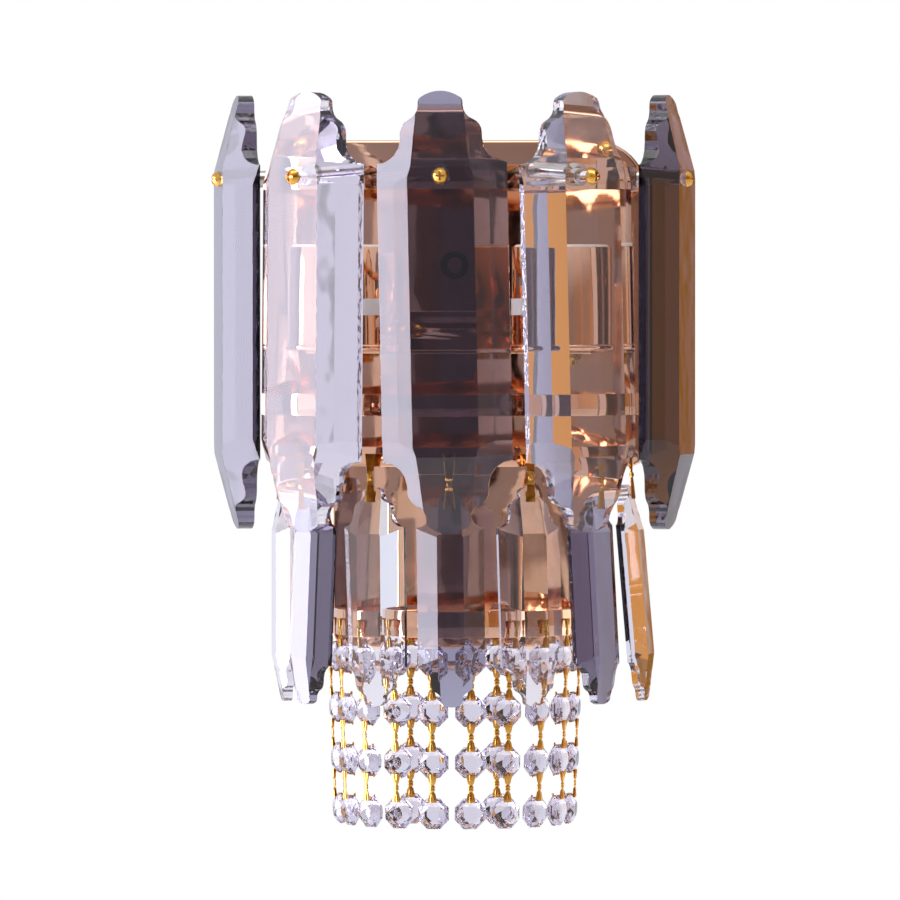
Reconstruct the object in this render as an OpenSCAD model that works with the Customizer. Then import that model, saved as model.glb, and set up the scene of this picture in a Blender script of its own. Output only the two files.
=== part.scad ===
// Crystal wall sconce: a polished wall plate, two upright lampholders, five screwed-on crystals,
// seven hanging crystals and twelve strands of octagon beads.
// Millimetres. The wall is the plane y = 0, the front is -y, up is +z, and the origin is the middle
// of the mounting bar. Azimuths turn round the rings' common axis, from the front towards +x.

/* [Wall plate] */
// Depth of the plate from the wall to its face
plate_depth = 25; // [22:0.5:32]
// Thickness of the plate's sheet metal
plate_t = 1.2; // [0.8:0.1:1.6]
// Height of the plate above the mounting axis
plate_over = 15.8; // [13:0.2:20]
// Length of the plate below the bead ring's holes
plate_under = 14.5; // [12:0.5:20]
// Length of the plate's wide part below the hook ring's holes
plate_step_under = 6; // [5.5:0.5:10]
// Radius of the plate's upper corners
plate_top_r = 24; // [12:0.5:24]
// Radius of the plate's other corners
plate_corner_r = 8; // [4:0.5:12]
// How far the plate runs past the rings at each side
plate_margin = 0.6; // [0.2:0.1:3]

/* [Mounting] */
// How far the mounting bar runs past its studs
bar_over = 7; // [5:0.5:9]
// Height of the mounting bar
bar_h = 22; // [18:0.5:24]
// Thickness of the mounting bar
bar_t = 1.5; // [1:0.1:2]
// Length of each cranked end of the bar
bar_end_len = 17; // [14:0.5:18]
// How far the cranked ends stand off the wall
bar_crank = 4; // [3:0.2:5]
// Distance between the two wall screws
wall_screw_pitch = 70; // [60:1:80]
// Width of the slots for the wall screws
wall_slot_w = 4.5; // [4:0.1:6]
// Length of the slots for the wall screws
wall_slot_len = 14; // [10:0.5:18]
// Gap between a cap nut and the top band's lug
cap_nut_gap = 3.7; // [1:0.1:6]
// Diameter of the studs
stud_d = 4; // [3:0.5:5]
// Diameter of the domed cap nuts
cap_nut_d = 9; // [7:0.5:10]
// Height of the domed cap nuts
cap_nut_h = 9; // [7:0.5:12]

/* [Wiring] */
// Width of the terminal block
block_w = 26; // [22:1:30]
// Height of the terminal block
block_h = 18; // [14:1:20]
// Depth of the terminal block
block_d = 13; // [10:0.5:16]
// Diameter of the terminal screws' heads
terminal_screw_d = 3.6; // [3:0.2:4.4]
// Diameter of the wire holes in the terminal block
wire_hole_d = 3.2; // [2:0.2:4]
// Diameter of the earth screw's head
earth_head_d = 6; // [5:0.2:6.6]
// Bore of the rubber grommet
grommet_bore_d = 7; // [5:0.5:9]
// Distance of the grommet below the mounting axis
grommet_drop = 42; // [38:1:46]

/* [Lamps] */
// Gap between the lampholders and the bands round them
lamp_gap = 5.4; // [4.6:0.1:8]
// Outer diameter of the lampholders
holder_d = 40; // [37:0.5:42]
// Thickness of the metal cups round the lampholders
cup_t = 1; // [0.6:0.1:1.4]
// Height of the solid floor of a lampholder
holder_floor = 17.5; // [15:0.5:20]
// Depth of the well below the threaded shell
holder_well = 6; // [5:0.2:8]
// Distance of the lampholders' rims below the mounting axis
holder_drop = 33; // [30:1:36]
// Inner diameter of the threaded shell that takes the lamp
shell_bore_d = 26.4; // [25.4:0.1:27]
// Wall of the threaded shell
shell_t = 0.7; // [0.4:0.1:1]
// Height of the threaded shell
shell_h = 22; // [18:0.5:24]
// Depth of the shell below the rim
shell_inset = 2; // [1:0.5:4]
// Diameter of the threaded nipples
nipple_d = 10; // [8:0.5:12]
// Thickness of the lamp bracket
bracket_t = 1.5; // [1:0.1:2]
// How far the lamp bracket runs past the lamps' axes
bracket_side = 12; // [10:0.5:16]
// Height of the bracket's flange on the plate
bracket_flange_h = 18; // [14:0.5:22]

/* [Bands and rings] */
// Thickness of the strip metal of the bands and rings
band_t = 1.2; // [1:0.1:1.6]
// Height of the top band
top_band_h = 11; // [9:0.5:12]
// Distance of the crystals' screws below the mounting axis
top_band_drop = 2.6; // [1:0.2:4]
// Height of the lower band
lower_band_h = 10; // [8:0.5:12]
// Distance of the lower band above the hook ring
lower_band_over = 23.6; // [20:0.2:28]
// How far the hook ring lies inside the two bands
hook_ring_in = 7.4; // [6:0.2:9]
// Height of the hook ring
hook_ring_h = 9.1; // [7:0.1:10]
// Distance of the hook ring's holes below the mounting axis
hook_ring_drop = 129.8; // [126:0.2:134]
// Height of the bead ring
bead_ring_h = 12; // [10:0.5:13]
// Distance of the bead ring's holes below the mounting axis
bead_ring_drop = 205.5; // [202:0.5:210]
// Length of the lugs at the ends of the rings
lug_len = 10; // [8:0.5:12]
// Diameter of the screws that hold lugs and bracket
lug_screw_d = 3; // [2.5:0.1:3.5]

/* [Upper crystals] */
// Length of an upper crystal
prism_len = 200; // [180:1:206]
// Width of an upper crystal
prism_w = 59; // [56:0.5:62]
// Gap between the backs of two neighbouring upper crystals
prism_gap = 8.1; // [6.5:0.1:10]
// Thickness of an upper crystal
prism_t = 15.5; // [14:0.5:16.5]
// Thickness of its side edges
prism_edge_t = 3.5; // [2.5:0.1:4.5]
// Width of the outer bevel, measured across the crystal
prism_bevel_w = 7.8; // [6:0.1:9]
// Thickness at the ridge between the two bevels
prism_ridge_t = 10.5; // [9:0.1:11.5]
// Width of the flat table
prism_table_w = 30; // [26:0.5:34]
// Thickness at the tips
prism_tip_t = 6.6; // [5.5:0.1:7.5]
// Length of the sloping facet at each end of the table
prism_end_len = 34.6; // [30:0.2:38]
// Distance from the tip to the foot of the roof facets
prism_roof_len = 41.6; // [38:0.2:46]
// Radius of the crown of the tip
prism_crown_r = 15; // [12:0.5:20]
// Width of the tip
prism_tip_w = 19.8; // [18:0.1:21]
// Radius of the tip's rounded corners
prism_corner_r = 3; // [2:0.1:4]
// Length of the straight sides of the tip
prism_tip_side = 1.3; // [0.5:0.1:2.5]
// Radius of the hollow below the tip
prism_neck_r = 6.7; // [5.5:0.1:7.5]
// Radius of the shoulder
prism_shoulder_r = 6.7; // [5.5:0.1:7.5]
// Length of the straight side below the shoulder
prism_straight = 2.5; // [1.5:0.1:4]
// Distance of the screw from the upper tip
prism_screw_from_tip = 38.6; // [37:0.2:42]
// Distance between the top band and the back of a crystal
prism_standoff = 8; // [7:0.2:10]
// Diameter of the crystals' screws
prism_screw_d = 3; // [2.5:0.1:3.4]
// Diameter of the screws' domed heads
prism_head_d = 7.6; // [6:0.2:8]
// Outer diameter of the metal sleeve in a crystal
sleeve_d = 5; // [4.6:0.1:5.6]

/* [Hanging crystals] */
// Length of a hanging crystal
drop_len = 100; // [90:1:104]
// Gap between the backs of two neighbouring hanging crystals
drop_gap = 4.7; // [4:0.1:6]
// Thickness of a hanging crystal
drop_t = 8; // [7:0.2:9]
// Thickness of its side edges
drop_edge_t = 2.2; // [1.8:0.1:3]
// Width of its flat table
drop_table_w = 12; // [10:0.5:14]
// Thickness at its tips
drop_tip_t = 3.7; // [3:0.1:4.5]
// Length of the sloping facet at each end of its table
drop_end_len = 21.3; // [19:0.1:24]
// Distance from the tip to the inner foot of its roof facets
drop_roof_ridge = 22.5; // [20:0.1:25]
// Distance from the tip to the outer foot of its roof facets
drop_roof_foot = 18.8; // [17:0.1:20]
// Radius of the crown of its tip
drop_crown_r = 7.5; // [6:0.5:10]
// Width of its tip
drop_tip_w = 9.6; // [9:0.1:10.5]
// Radius of its tip's rounded corners
drop_corner_r = 1.5; // [1:0.1:2]
// Length of the straight sides of its tip
drop_tip_side = 0.8; // [0.4:0.1:1.4]
// Radius of the hollow below its tip
drop_neck_r = 3.75; // [3:0.05:4.2]
// Radius of its shoulder
drop_shoulder_r = 3.75; // [3:0.05:4.2]
// Length of the straight side below its shoulder
drop_straight = 2.2; // [1.2:0.1:3.2]
// Distance of its hole from the upper tip
drop_hole_from_tip = 5.4; // [4.6:0.1:6]
// Distance between the two prongs of a clip
clip_pitch = 19.2; // [17:0.1:21]
// How far a clip's bow runs past its prongs
clip_over = 1.4; // [1:0.1:2]
// Width of a clip's bow
clip_w = 5.5; // [4.5:0.1:6]
// Width of a clip's waist
clip_waist = 2.8; // [2:0.1:3.2]
// Diameter of the wire prongs of a clip
clip_wire_d = 1.2; // [1:0.1:1.4]

/* [Bead strands] */
// Width of a bead across its flats
bead_w = 14; // [12:0.2:16]
// Thickness of a bead
bead_t = 7; // [6:0.2:8]
// Thickness of a bead's girdle
bead_girdle_t = 1.4; // [1:0.1:2]
// Width of a bead's table
bead_table_w = 7; // [6:0.2:8]
// Distance of a bead's holes from its edge
bead_hole_in = 1.2; // [1:0.1:1.6]
// Gap between the beads of neighbouring strands
bead_gap = 3.65; // [2.8:0.05:5]
// Distance between the two prongs of a link
link_pitch = 11.9; // [10:0.1:13]
// Gap between the bead ring's lower edge and the first beads
first_bead_gap = 3.2; // [2:0.1:4]
// Number of beads on a strand
bead_count = 4; // [2:1:4]
// Width of a link's bow
link_w = 3.7; // [3:0.1:4.2]
// Width of a link's waist
link_waist = 1.7; // [1.2:0.1:2]
// Diameter of the knob in the middle of a link
link_knob_d = 2.6; // [2.2:0.1:2.8]
// Diameter of the wire prongs of a link
link_wire_d = 1; // [0.8:0.1:1.1]
// Distance of the two back strands from the middle
back_strand_x = 20; // [16:0.5:24]
// Distance of the two back strands in front of the plate
back_strand_out = 11; // [9:0.5:14]

/* [Hidden] */
FRONT_STRANDS = 10;
BACK_STRANDS = 2;
STRANDS = FRONT_STRANDS + BACK_STRANDS;
PRISMS = 5;
DROPS = 7;

// Directions of the pieces round the rings' axis, and how far each one hangs askew, in degrees.
// A lean carries the lower end towards +azimuth and a tilt carries it outwards.
PRISM_AZIMUTHS = [-77.5, -38.4, -0.3, 37.3, 77.5];
PRISM_LEANS = [0, -0.6, 1.2, 1.7, 0];
PRISM_STEP = 38.75;
DROP_AZIMUTHS = [-75.5, -50, -24.5, 1.5, 27.5, 53, 78.5];
DROP_STEP = 25.67;
DROP_LEANS = [0, -1, 0.6, 0.6, 1, 1, 0];
DROP_TILTS = [0, 2, 0, 0, 2, 3, 5];
STRAND_FIRST_AZIMUTH = -79.5;
STRAND_STEP = 18;
STRAND_TILT = -2;
LAMP_AZIMUTH = 53.7;

// Clearances, seats and small common sizes
overrun = 1;
fit_gap = 0.05;
pin_gap = 0.1;
seat_gap = 0.05;
hang_gap = 0.3;
ARC_STEPS = 5;
OGEE_TURN = 68.4;
$fn = 48;

// Places that several pieces share
ring_y = -plate_depth;
face_y = -plate_depth;
screw_z = -top_band_drop;
hook_z = -hook_ring_drop;
lower_band_z = hook_z + lower_band_over;
bead_hook_z = -bead_ring_drop;
bead_ring_low = 1.5;
bead_ring_mid_z = bead_hook_z - bead_ring_low;
prism_back_r = (prism_w + prism_gap) / 2 / tan(PRISM_STEP / 2);
band_r = prism_back_r - prism_standoff;
hook_ring_r = band_r - hook_ring_in;
hook_mid_r = hook_ring_r - band_t / 2;
drop_back_y = 1.9;
drop_w = 2 * (hook_mid_r - drop_back_y) * tan(DROP_STEP / 2) - drop_gap;
bead_mid_r = (bead_w + bead_gap) / 2 / sin(STRAND_STEP / 2);
bead_ring_r = bead_mid_r + band_t / 2;
lug_screw_share = 0.55;
lug_screw_in = band_t + lug_len * lug_screw_share;
stud_x = band_r - band_t - lug_len - cap_nut_gap - cap_nut_d / 2;
earth_screw_x = (block_w + wall_screw_pitch - wall_slot_len) / 4;
holder_h = shell_inset + shell_h + holder_well + holder_floor;
shelf_top_z = -holder_drop - holder_h - cup_t;
lamp_r = band_r - band_t - lamp_gap - holder_d / 2;
lamp_x = lamp_r * sin(LAMP_AZIMUTH);
lamp_out = lamp_r * cos(LAMP_AZIMUTH);
lamp_y = face_y - lamp_out;
bracket_w = 2 * (lamp_x + bracket_side);
nipple_hole_share = 0.63;
nipple_hole_depth = holder_floor * nipple_hole_share;
shell_r = shell_bore_d / 2 + shell_t;

// Screws of the frame
lug_head_d = 5.6;
lug_head_h = 2;
lug_screw_grip = 5;
recess_w = 0.9;
recess_span_share = 0.56;
recess_depth_share = 0.55;

// Plate
corner_limit_share = 0.45;

// Mounting hardware
stud_head_d = 7;
stud_head_h = 2;
stud_end = 5;
cap_rim_share = 0.5;
earth_screw_d = 4;
earth_head_h = 2.2;

// Terminal block
WAYS = 3;
block_peg_d = 3;
block_groove = 1.6;
terminal_screw_h = 3;
terminal_screw_sink = 1.4;
terminal_row_share = 0.27;

// Grommet
grommet_wall = 1.6;
grommet_lip = 1.5;
grommet_flange = 1.8;

// Lampholders
holder_rim_h = 7;
holder_foot_h = 9;
holder_foot_d = 34;
groove_depth = 1;
groove_pitch = 3.4;
shell_seat_w = 2;
nipple_end_gap = 1;
nipple_wall = 1.5;
nipple_nut_over = 4;
wire_way_d = 5;
nipple_nut_h = 3;
nipple_tail = 2.5;
centre_contact_d = 7;
side_contact_w = 4;
contact_t = 0.6;
side_contact_in = 0.5;
side_contact_reach = 4;
cup_low = 1;
cup_bead_r = 1.4;
bracket_depth_over = 8;
bracket_edge = 10;
bracket_inner_share = 0.28;

// Crystals' hardware
head_h_share = 0.42;
prism_nut_w = 5.5;
prism_nut_h = 2.4;
prism_screw_end = 1;
collar_d = 8;

// Clips and links
clip_t = 0.9;
clip_hole_over = 0.3;
clip_leg_len = 3;
CLIP_RIBS = 5;
clip_rib_w = 0.35;
clip_rib_t = 0.25;
link_t = 0.8;
link_hole_over = 0.7;
link_leg_len = 1.9;
link_band_gap = 1.2;
link_bow_over = 0.6;

// Tabs of the plate that carry the back strands
tab_w = 7;
tab_over = 4.4;
tab_under = 4.6;

// Points along an arc; first is 1 where the arc goes on from the point before it
function arc(cx, cy, r, from, to, first = 0) =
    [for (i = [first:ARC_STEPS]) let (a = from + (to - from) * i / ARC_STEPS)
        [cx + r * cos(a), cy + r * sin(a)]];

// A quarter of a crystal's outline, from the crown of the tip to the corner of its side
function ogee(len, half, crown, tip_w, corner, tip_side, neck, shoulder, straight) =
    let (
        tip = len / 2,
        corner_x = tip_w / 2 - corner,
        crown_end = acos(corner_x / (crown - corner)),
        corner_z = tip - crown + (crown - corner) * sin(crown_end),
        neck_z = corner_z - tip_side,
        outer = tip_w / 2 + (neck + shoulder) * (1 - cos(OGEE_TURN)),
        shoulder_z = neck_z - (neck + shoulder) * sin(OGEE_TURN)
    )
    concat(
        arc(0, tip - crown, crown, 90, crown_end),
        arc(corner_x, corner_z, corner, crown_end, 0, 1),
        arc(tip_w / 2 + neck, neck_z, neck, 180, 180 + OGEE_TURN),
        arc(outer - shoulder, shoulder_z, shoulder, OGEE_TURN, 0, 1),
        arc(half, shoulder_z - straight, half - outer, 180, 270)
    );

// The whole outline from its upper right quarter
function four_fold(q) =
    let (n = len(q))
    concat(
        q,
        [for (i = [n - 1:-1:0]) [q[i][0], -q[i][1]]],
        [for (i = [1:n - 1]) [-q[i][0], -q[i][1]]],
        [for (i = [n - 1:-1:1]) [-q[i][0], q[i][1]]]
    );

// The plate's outline, drawn in from its edge by inset
function plate_outline(inset) =
    let (
        wide = band_r + plate_margin - inset,
        narrow = bead_ring_r + plate_margin - inset,
        top = plate_over - inset,
        step = hook_z - plate_step_under + inset,
        bottom = bead_hook_z - plate_under + inset,
        corner = min(plate_corner_r, (band_r - bead_ring_r) * corner_limit_share),
        r = corner - inset,
        hollow = corner + inset,
        top_r = plate_top_r - inset
    )
    concat(
        arc(wide - top_r, top - top_r, top_r, 0, 90),
        arc(top_r - wide, top - top_r, top_r, 90, 180),
        arc(r - wide, step + r, r, 180, 270),
        arc(-narrow - hollow, step - hollow, hollow, 90, 0),
        arc(r - narrow, bottom + r, r, 180, 270),
        arc(narrow - r, bottom + r, r, 270, 360),
        arc(narrow + hollow, step - hollow, hollow, 180, 90),
        arc(wide - r, step + r, r, 270, 360)
    );

// Places children at an azimuth, a radius and a height; their front looks outwards
module on_ring(azimuth, r, z)
    translate([0, ring_y, z])
        rotate([0, 0, azimuth])
            translate([0, -r, 0])
                children();

// Turns children about the place they hang from
module askew(tilt, lean)
    rotate([-tilt, 0, 0])
        rotate([0, -lean, 0])
            children();

// Puts one copy at each side
module both_sides()
    for (side = [0, 1])
        mirror([side, 0, 0])
            children();

// A round bar or hole along y, from y = from to y = to
module along_y(d, from, to)
    translate([0, from, 0])
        rotate([90, 0, 0])
            cylinder(d = d, h = from - to);

// A hexagonal nut along y with its back at y = 0, growing towards the front
module hex_nut(width, height, bore)
    difference() {
        rotate([90, 0, 0])
            cylinder(d = width / cos(30), h = height, $fn = 6);
        along_y(bore, overrun, -height - overrun);
    }

// A dome of a given foot diameter and height, standing on z = 0
module dome(d, h) {
    ball_r = (d * d / 4 + h * h) / (2 * h);
    intersection() {
        translate([0, 0, h - ball_r])
            sphere(ball_r);
        cylinder(d = d, h = h);
    }
}

// A domed screw with a cross recess: the head's seat is y = 0 and the shaft runs to +y
module domed_screw(head_d, head_h, shaft_d, shaft_len)
    difference() {
        union() {
            rotate([90, 0, 0])
                dome(head_d, head_h);
            along_y(shaft_d, shaft_len, -head_h / 4);
        }
        for (turn = [0, 90])
            rotate([0, turn, 0])
                translate([-head_d * recess_span_share / 2, -head_h - overrun, -recess_w / 2])
                    cube([head_d * recess_span_share, head_h * recess_depth_share + overrun, recess_w]);
    }

// A half ring round the front, with a lug at each end that lies on the plate
module half_ring(r, h, z) {
    rotate([0, 0, 180])
        translate([0, -ring_y, 0])
            rotate_extrude(angle = 180, $fn = 96)
                translate([r - band_t, z - h / 2])
                    square([band_t, h]);
    both_sides()
        difference() {
            translate([r - band_t - lug_len, ring_y - band_t, z - h / 2])
                cube([lug_len + band_t, band_t, h]);
            translate([r - lug_screw_in, 0, z])
                along_y(lug_screw_d + 2 * fit_gap, ring_y + overrun, ring_y - band_t - overrun);
        }
}

// Places children at the lug screws of one ring
module at_lugs(r, z)
    both_sides()
        translate([r - lug_screw_in, 0, z])
            children();

// Every ring's lug screws
module at_all_lugs() {
    at_lugs(band_r, screw_z) children();
    at_lugs(band_r, lower_band_z) children();
    at_lugs(hook_ring_r, hook_z) children();
    at_lugs(bead_ring_r, bead_ring_mid_z) children();
}

// The bracket's screws
module at_bracket_screws()
    both_sides()
        for (x = [bracket_w / 2 - bracket_edge, bracket_w * bracket_inner_share / 2])
            translate([x, 0, shelf_top_z + bracket_flange_h / 2])
                children();

// Wall side
module mounting_bar() {
    inner = stud_x + bar_over - bar_end_len;
    color("#b9bcc0")
        difference() {
            union() {
                translate([-inner, -bar_t, -bar_h / 2])
                    cube([2 * inner, bar_t, bar_h]);
                both_sides() {
                    translate([inner - bar_t, -bar_crank - bar_t, -bar_h / 2])
                        cube([bar_t, bar_crank + bar_t, bar_h]);
                    translate([inner - bar_t, -bar_crank - bar_t, -bar_h / 2])
                        cube([bar_end_len + bar_t, bar_t, bar_h]);
                }
            }
            both_sides() {
                translate([stud_x, 0, 0])
                    along_y(stud_d + 2 * fit_gap, overrun, -bar_crank - bar_t - overrun);
                for (end = [-1, 1])
                    translate([wall_screw_pitch / 2 + end * (wall_slot_len - wall_slot_w) / 2, 0, 0])
                        along_y(wall_slot_w, overrun, -bar_t - overrun);
                translate([(wall_screw_pitch - wall_slot_len + wall_slot_w) / 2, -bar_t - overrun,
                           -wall_slot_w / 2])
                    cube([wall_slot_len - wall_slot_w, bar_t + 2 * overrun, wall_slot_w]);
            }
            along_y(block_peg_d + 2 * fit_gap, overrun, -bar_t - overrun);
            translate([earth_screw_x, 0, 0])
                along_y(earth_screw_d + 2 * fit_gap, overrun, -bar_t - overrun);
        }
}

module mounting_studs()
    color("#c9a45c")
        both_sides()
            translate([stud_x, -bar_crank, 0]) {
                along_y(stud_head_d, stud_head_h, 0);
                along_y(stud_d, 0, face_y + bar_crank - stud_end);
            }

module cap_nuts()
    color("#d8ac52")
        both_sides()
            translate([stud_x, face_y, 0])
                difference() {
                    rotate([90, 0, 0]) {
                        cylinder(d = cap_nut_d, h = cap_nut_h * cap_rim_share);
                        translate([0, 0, cap_nut_h * cap_rim_share])
                            dome(cap_nut_d, cap_nut_h * (1 - cap_rim_share));
                    }
                    along_y(stud_d + 2 * fit_gap, overrun, -stud_end - fit_gap);
                }

module wall_plate()
    color("#d9a590")
        difference() {
            union() {
                rotate([90, 0, 0])
                    difference() {
                        linear_extrude(plate_depth)
                            polygon(plate_outline(0));
                        translate([0, 0, -overrun])
                            linear_extrude(plate_depth - plate_t + overrun)
                                polygon(plate_outline(plate_t));
                    }
                both_sides()
                    back_tab();
            }
            both_sides()
                translate([stud_x, 0, 0])
                    along_y(stud_d + 2 * pin_gap, 0, face_y - overrun);
            at_all_lugs()
                along_y(lug_screw_d + 2 * fit_gap, 0, face_y - overrun);
            at_bracket_screws()
                along_y(lug_screw_d + 2 * fit_gap, 0, face_y - overrun);
            translate([0, 0, -grommet_drop])
                along_y(grommet_bore_d + 2 * grommet_wall, 0, face_y - overrun);
        }

// A bent tab welded to the plate, from which a back strand hangs
module back_tab() {
    out = back_strand_out + band_t / 2;
    difference() {
        translate([back_strand_x - tab_w / 2, face_y - out, bead_hook_z - tab_under]) {
            cube([tab_w, band_t, tab_over + tab_under]);
            translate([0, 0, tab_over + tab_under - band_t])
                cube([tab_w, out, band_t]);
        }
        translate([back_strand_x, 0, bead_hook_z])
            along_y(link_wire_d + 2 * link_hole_over, face_y - overrun, face_y - out - overrun);
    }
}

module terminal_block()
    color("#efece4")
        difference() {
            union() {
                translate([-block_w / 2, -bar_t - block_d, -block_h / 2])
                    cube([block_w, block_d, block_h]);
                along_y(block_peg_d, 0, -bar_t);
            }
            for (i = [0:WAYS - 1]) {
                x = way_x(i);
                translate([x, -bar_t - block_d / 2, -block_h / 2 - overrun])
                    cylinder(d = wire_hole_d, h = block_h + 2 * overrun);
                for (side = [-1, 1])
                    translate([x, 0, side * block_h * terminal_row_share])
                        along_y(terminal_screw_d + 2 * pin_gap, -bar_t - block_d / 2,
                                -bar_t - block_d - overrun);
            }
            for (i = [1:WAYS - 1])
                translate([way_x(i) - block_w / WAYS / 2 - block_groove / 2,
                           -bar_t - block_d - overrun, -block_h / 2 - overrun])
                    cube([block_groove, block_groove + overrun, block_h + 2 * overrun]);
        }
function way_x(i) = block_w / WAYS * (i - (WAYS - 1) / 2);

module terminal_screws()
    color("#c8a24a")
        for (i = [0:WAYS - 1], side = [-1, 1])
            translate([way_x(i), -bar_t - block_d + terminal_screw_sink, side * block_h * terminal_row_share])
                difference() {
                    along_y(terminal_screw_d, terminal_screw_h, 0);
                    translate([-terminal_screw_d, -overrun, -recess_w / 2])
                        cube([2 * terminal_screw_d, recess_w + overrun, recess_w]);
                }

module earth_screw()
    color("#c8a24a")
        translate([earth_screw_x, -bar_t, 0])
            domed_screw(earth_head_d, earth_head_h, earth_screw_d, bar_t);

module cable_grommet()
    color("#2b2a2a")
        translate([0, face_y, -grommet_drop])
            difference() {
                union() {
                    along_y(grommet_bore_d + 2 * grommet_wall - 2 * fit_gap, plate_t, 0);
                    along_y(grommet_bore_d + 2 * grommet_wall + 2 * grommet_lip, 0, -grommet_flange);
                    along_y(grommet_bore_d + 2 * grommet_wall + 2 * grommet_lip,
                            plate_t + grommet_flange, plate_t);
                }
                along_y(grommet_bore_d, plate_t + grommet_flange + overrun, -grommet_flange - overrun);
            }

// Lamps
module at_lamps(sides = [-1, 1])
    for (side = sides)
        translate([side * lamp_x, lamp_y, 0])
            children();

module lamp_bracket()
    color("#d0a08c")
        difference() {
            union() {
                translate([-bracket_w / 2, face_y - bracket_t, shelf_top_z - bracket_t])
                    cube([bracket_w, bracket_t, bracket_flange_h + bracket_t]);
                translate([-bracket_w / 2, lamp_y - bracket_depth_over, shelf_top_z - bracket_t])
                    cube([bracket_w, lamp_out + bracket_depth_over, bracket_t]);
            }
            at_bracket_screws()
                along_y(lug_screw_d + 2 * fit_gap, 0, face_y - bracket_t - overrun);
            at_lamps()
                translate([0, 0, shelf_top_z - bracket_t - overrun])
                    cylinder(d = nipple_d + 2 * fit_gap, h = bracket_t + 2 * overrun);
        }

module lamp_bracket_screws()
    color("#c9a45c")
        at_bracket_screws()
            translate([0, face_y - bracket_t, 0])
                domed_screw(lug_head_d, lug_head_h, lug_screw_d, bracket_t + plate_t + lug_screw_grip);

// One lampholder on its own axis, foot at z = 0
module lampholder() {
    thread_h = holder_h - holder_rim_h - holder_foot_h;
    grooves = floor(thread_h / groove_pitch);
    r = holder_d / 2;
    difference() {
        rotate_extrude($fn = 72)
            polygon(concat(
                [[0, 0], [holder_foot_d / 2 - groove_depth, 0], [holder_foot_d / 2, groove_depth],
                 [r, holder_foot_h]],
                [for (i = [0:grooves - 1]) let (z = holder_foot_h + groove_pitch * i)
                    each [[r, z + groove_pitch / 4], [r - groove_depth, z + groove_pitch / 2],
                          [r - groove_depth, z + groove_pitch * 3 / 4], [r, z + groove_pitch]]],
                [[r, holder_h - groove_depth], [r - groove_depth, holder_h], [0, holder_h]]
            ));
        translate([0, 0, holder_h - shell_inset - shell_h])
            cylinder(r = shell_r + fit_gap, h = shell_h + shell_inset + overrun);
        translate([0, 0, holder_h - shell_inset - shell_h - holder_well])
            cylinder(r = shell_r - shell_seat_w, h = holder_well + overrun);
        translate([0, 0, -overrun])
            cylinder(d = nipple_d + 2 * fit_gap, h = nipple_hole_depth + overrun);
        cylinder(d = wire_way_d, h = holder_floor + overrun);
    }
}

module lampholder_left()
    color("#f3efe6")
        at_lamps([-1])
            translate([0, 0, shelf_top_z + cup_t])
                lampholder();

module lampholder_right()
    color("#f3efe6")
        at_lamps([1])
            translate([0, 0, shelf_top_z + cup_t])
                lampholder();

// A metal cup round each lampholder, with a half-round bead round its foot
module lamp_cups()
    color("#d9a590")
        at_lamps()
            translate([0, 0, shelf_top_z]) {
                bore_r = holder_d / 2 + pin_gap;
                rim_z = holder_h + cup_t - cup_low;
                rotate_extrude($fn = 72)
                    polygon(concat(
                        [[nipple_d / 2 + fit_gap, 0]],
                        arc(bore_r + cup_t, cup_bead_r, cup_bead_r, -90, 90),
                        [[bore_r + cup_t, rim_z], [bore_r, rim_z], [bore_r, cup_t],
                         [nipple_d / 2 + fit_gap, cup_t]]
                    ));
            }

module socket_shells()
    color("#c9c3b4")
        at_lamps()
            translate([0, 0, -holder_drop - shell_inset - shell_h])
                difference() {
                    cylinder(r = shell_r, h = shell_h);
                    translate([0, 0, -overrun])
                        cylinder(d = shell_bore_d, h = shell_h + 2 * overrun);
                }

module socket_contacts()
    color("#c79a4b")
        at_lamps()
            translate([0, 0, -holder_drop - shell_inset - shell_h - holder_well]) {
                difference() {
                    cylinder(d = centre_contact_d + 2 * contact_t, h = holder_well - contact_t);
                    translate([0, 0, -overrun])
                        cylinder(d = centre_contact_d, h = holder_well - 2 * contact_t + overrun);
                }
                translate([-side_contact_w / 2, side_contact_in + shell_seat_w - shell_r, 0]) {
                    cube([side_contact_w, contact_t, holder_well - contact_t]);
                    cube([side_contact_w, side_contact_reach, contact_t]);
                }
            }

module holder_nipples()
    color("#c9a45c")
        at_lamps() {
            tail = bracket_t + nipple_nut_h + nipple_tail;
            length = tail + cup_t + nipple_hole_depth - nipple_end_gap;
            translate([0, 0, shelf_top_z - tail])
                difference() {
                    cylinder(d = nipple_d, h = length);
                    translate([0, 0, -overrun])
                        cylinder(d = nipple_d - 2 * nipple_wall, h = length + 2 * overrun);
                }
            translate([0, 0, shelf_top_z - bracket_t - nipple_nut_h])
                difference() {
                    cylinder(d = (nipple_d + nipple_nut_over) / cos(30), h = nipple_nut_h, $fn = 6);
                    translate([0, 0, -overrun])
                        cylinder(d = nipple_d + 2 * fit_gap, h = nipple_nut_h + 2 * overrun);
                }
        }

// Bands and rings
module top_band()
    color("#d9a590")
        difference() {
            half_ring(band_r, top_band_h, screw_z);
            for (i = [1:PRISMS])
                at_prism_screw(i)
                    along_y(prism_screw_d + 2 * fit_gap, prism_standoff + band_t + overrun, 0);
        }

module lower_band()
    color("#d9a590")
        half_ring(band_r, lower_band_h, lower_band_z);

module hook_ring()
    color("#d9a590")
        difference() {
            half_ring(hook_ring_r, hook_ring_h, hook_z);
            for (azimuth = DROP_AZIMUTHS)
                on_ring(azimuth, hook_mid_r, hook_z)
                    along_y(clip_wire_d + 2 * clip_hole_over, band_t, -band_t);
        }

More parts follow.
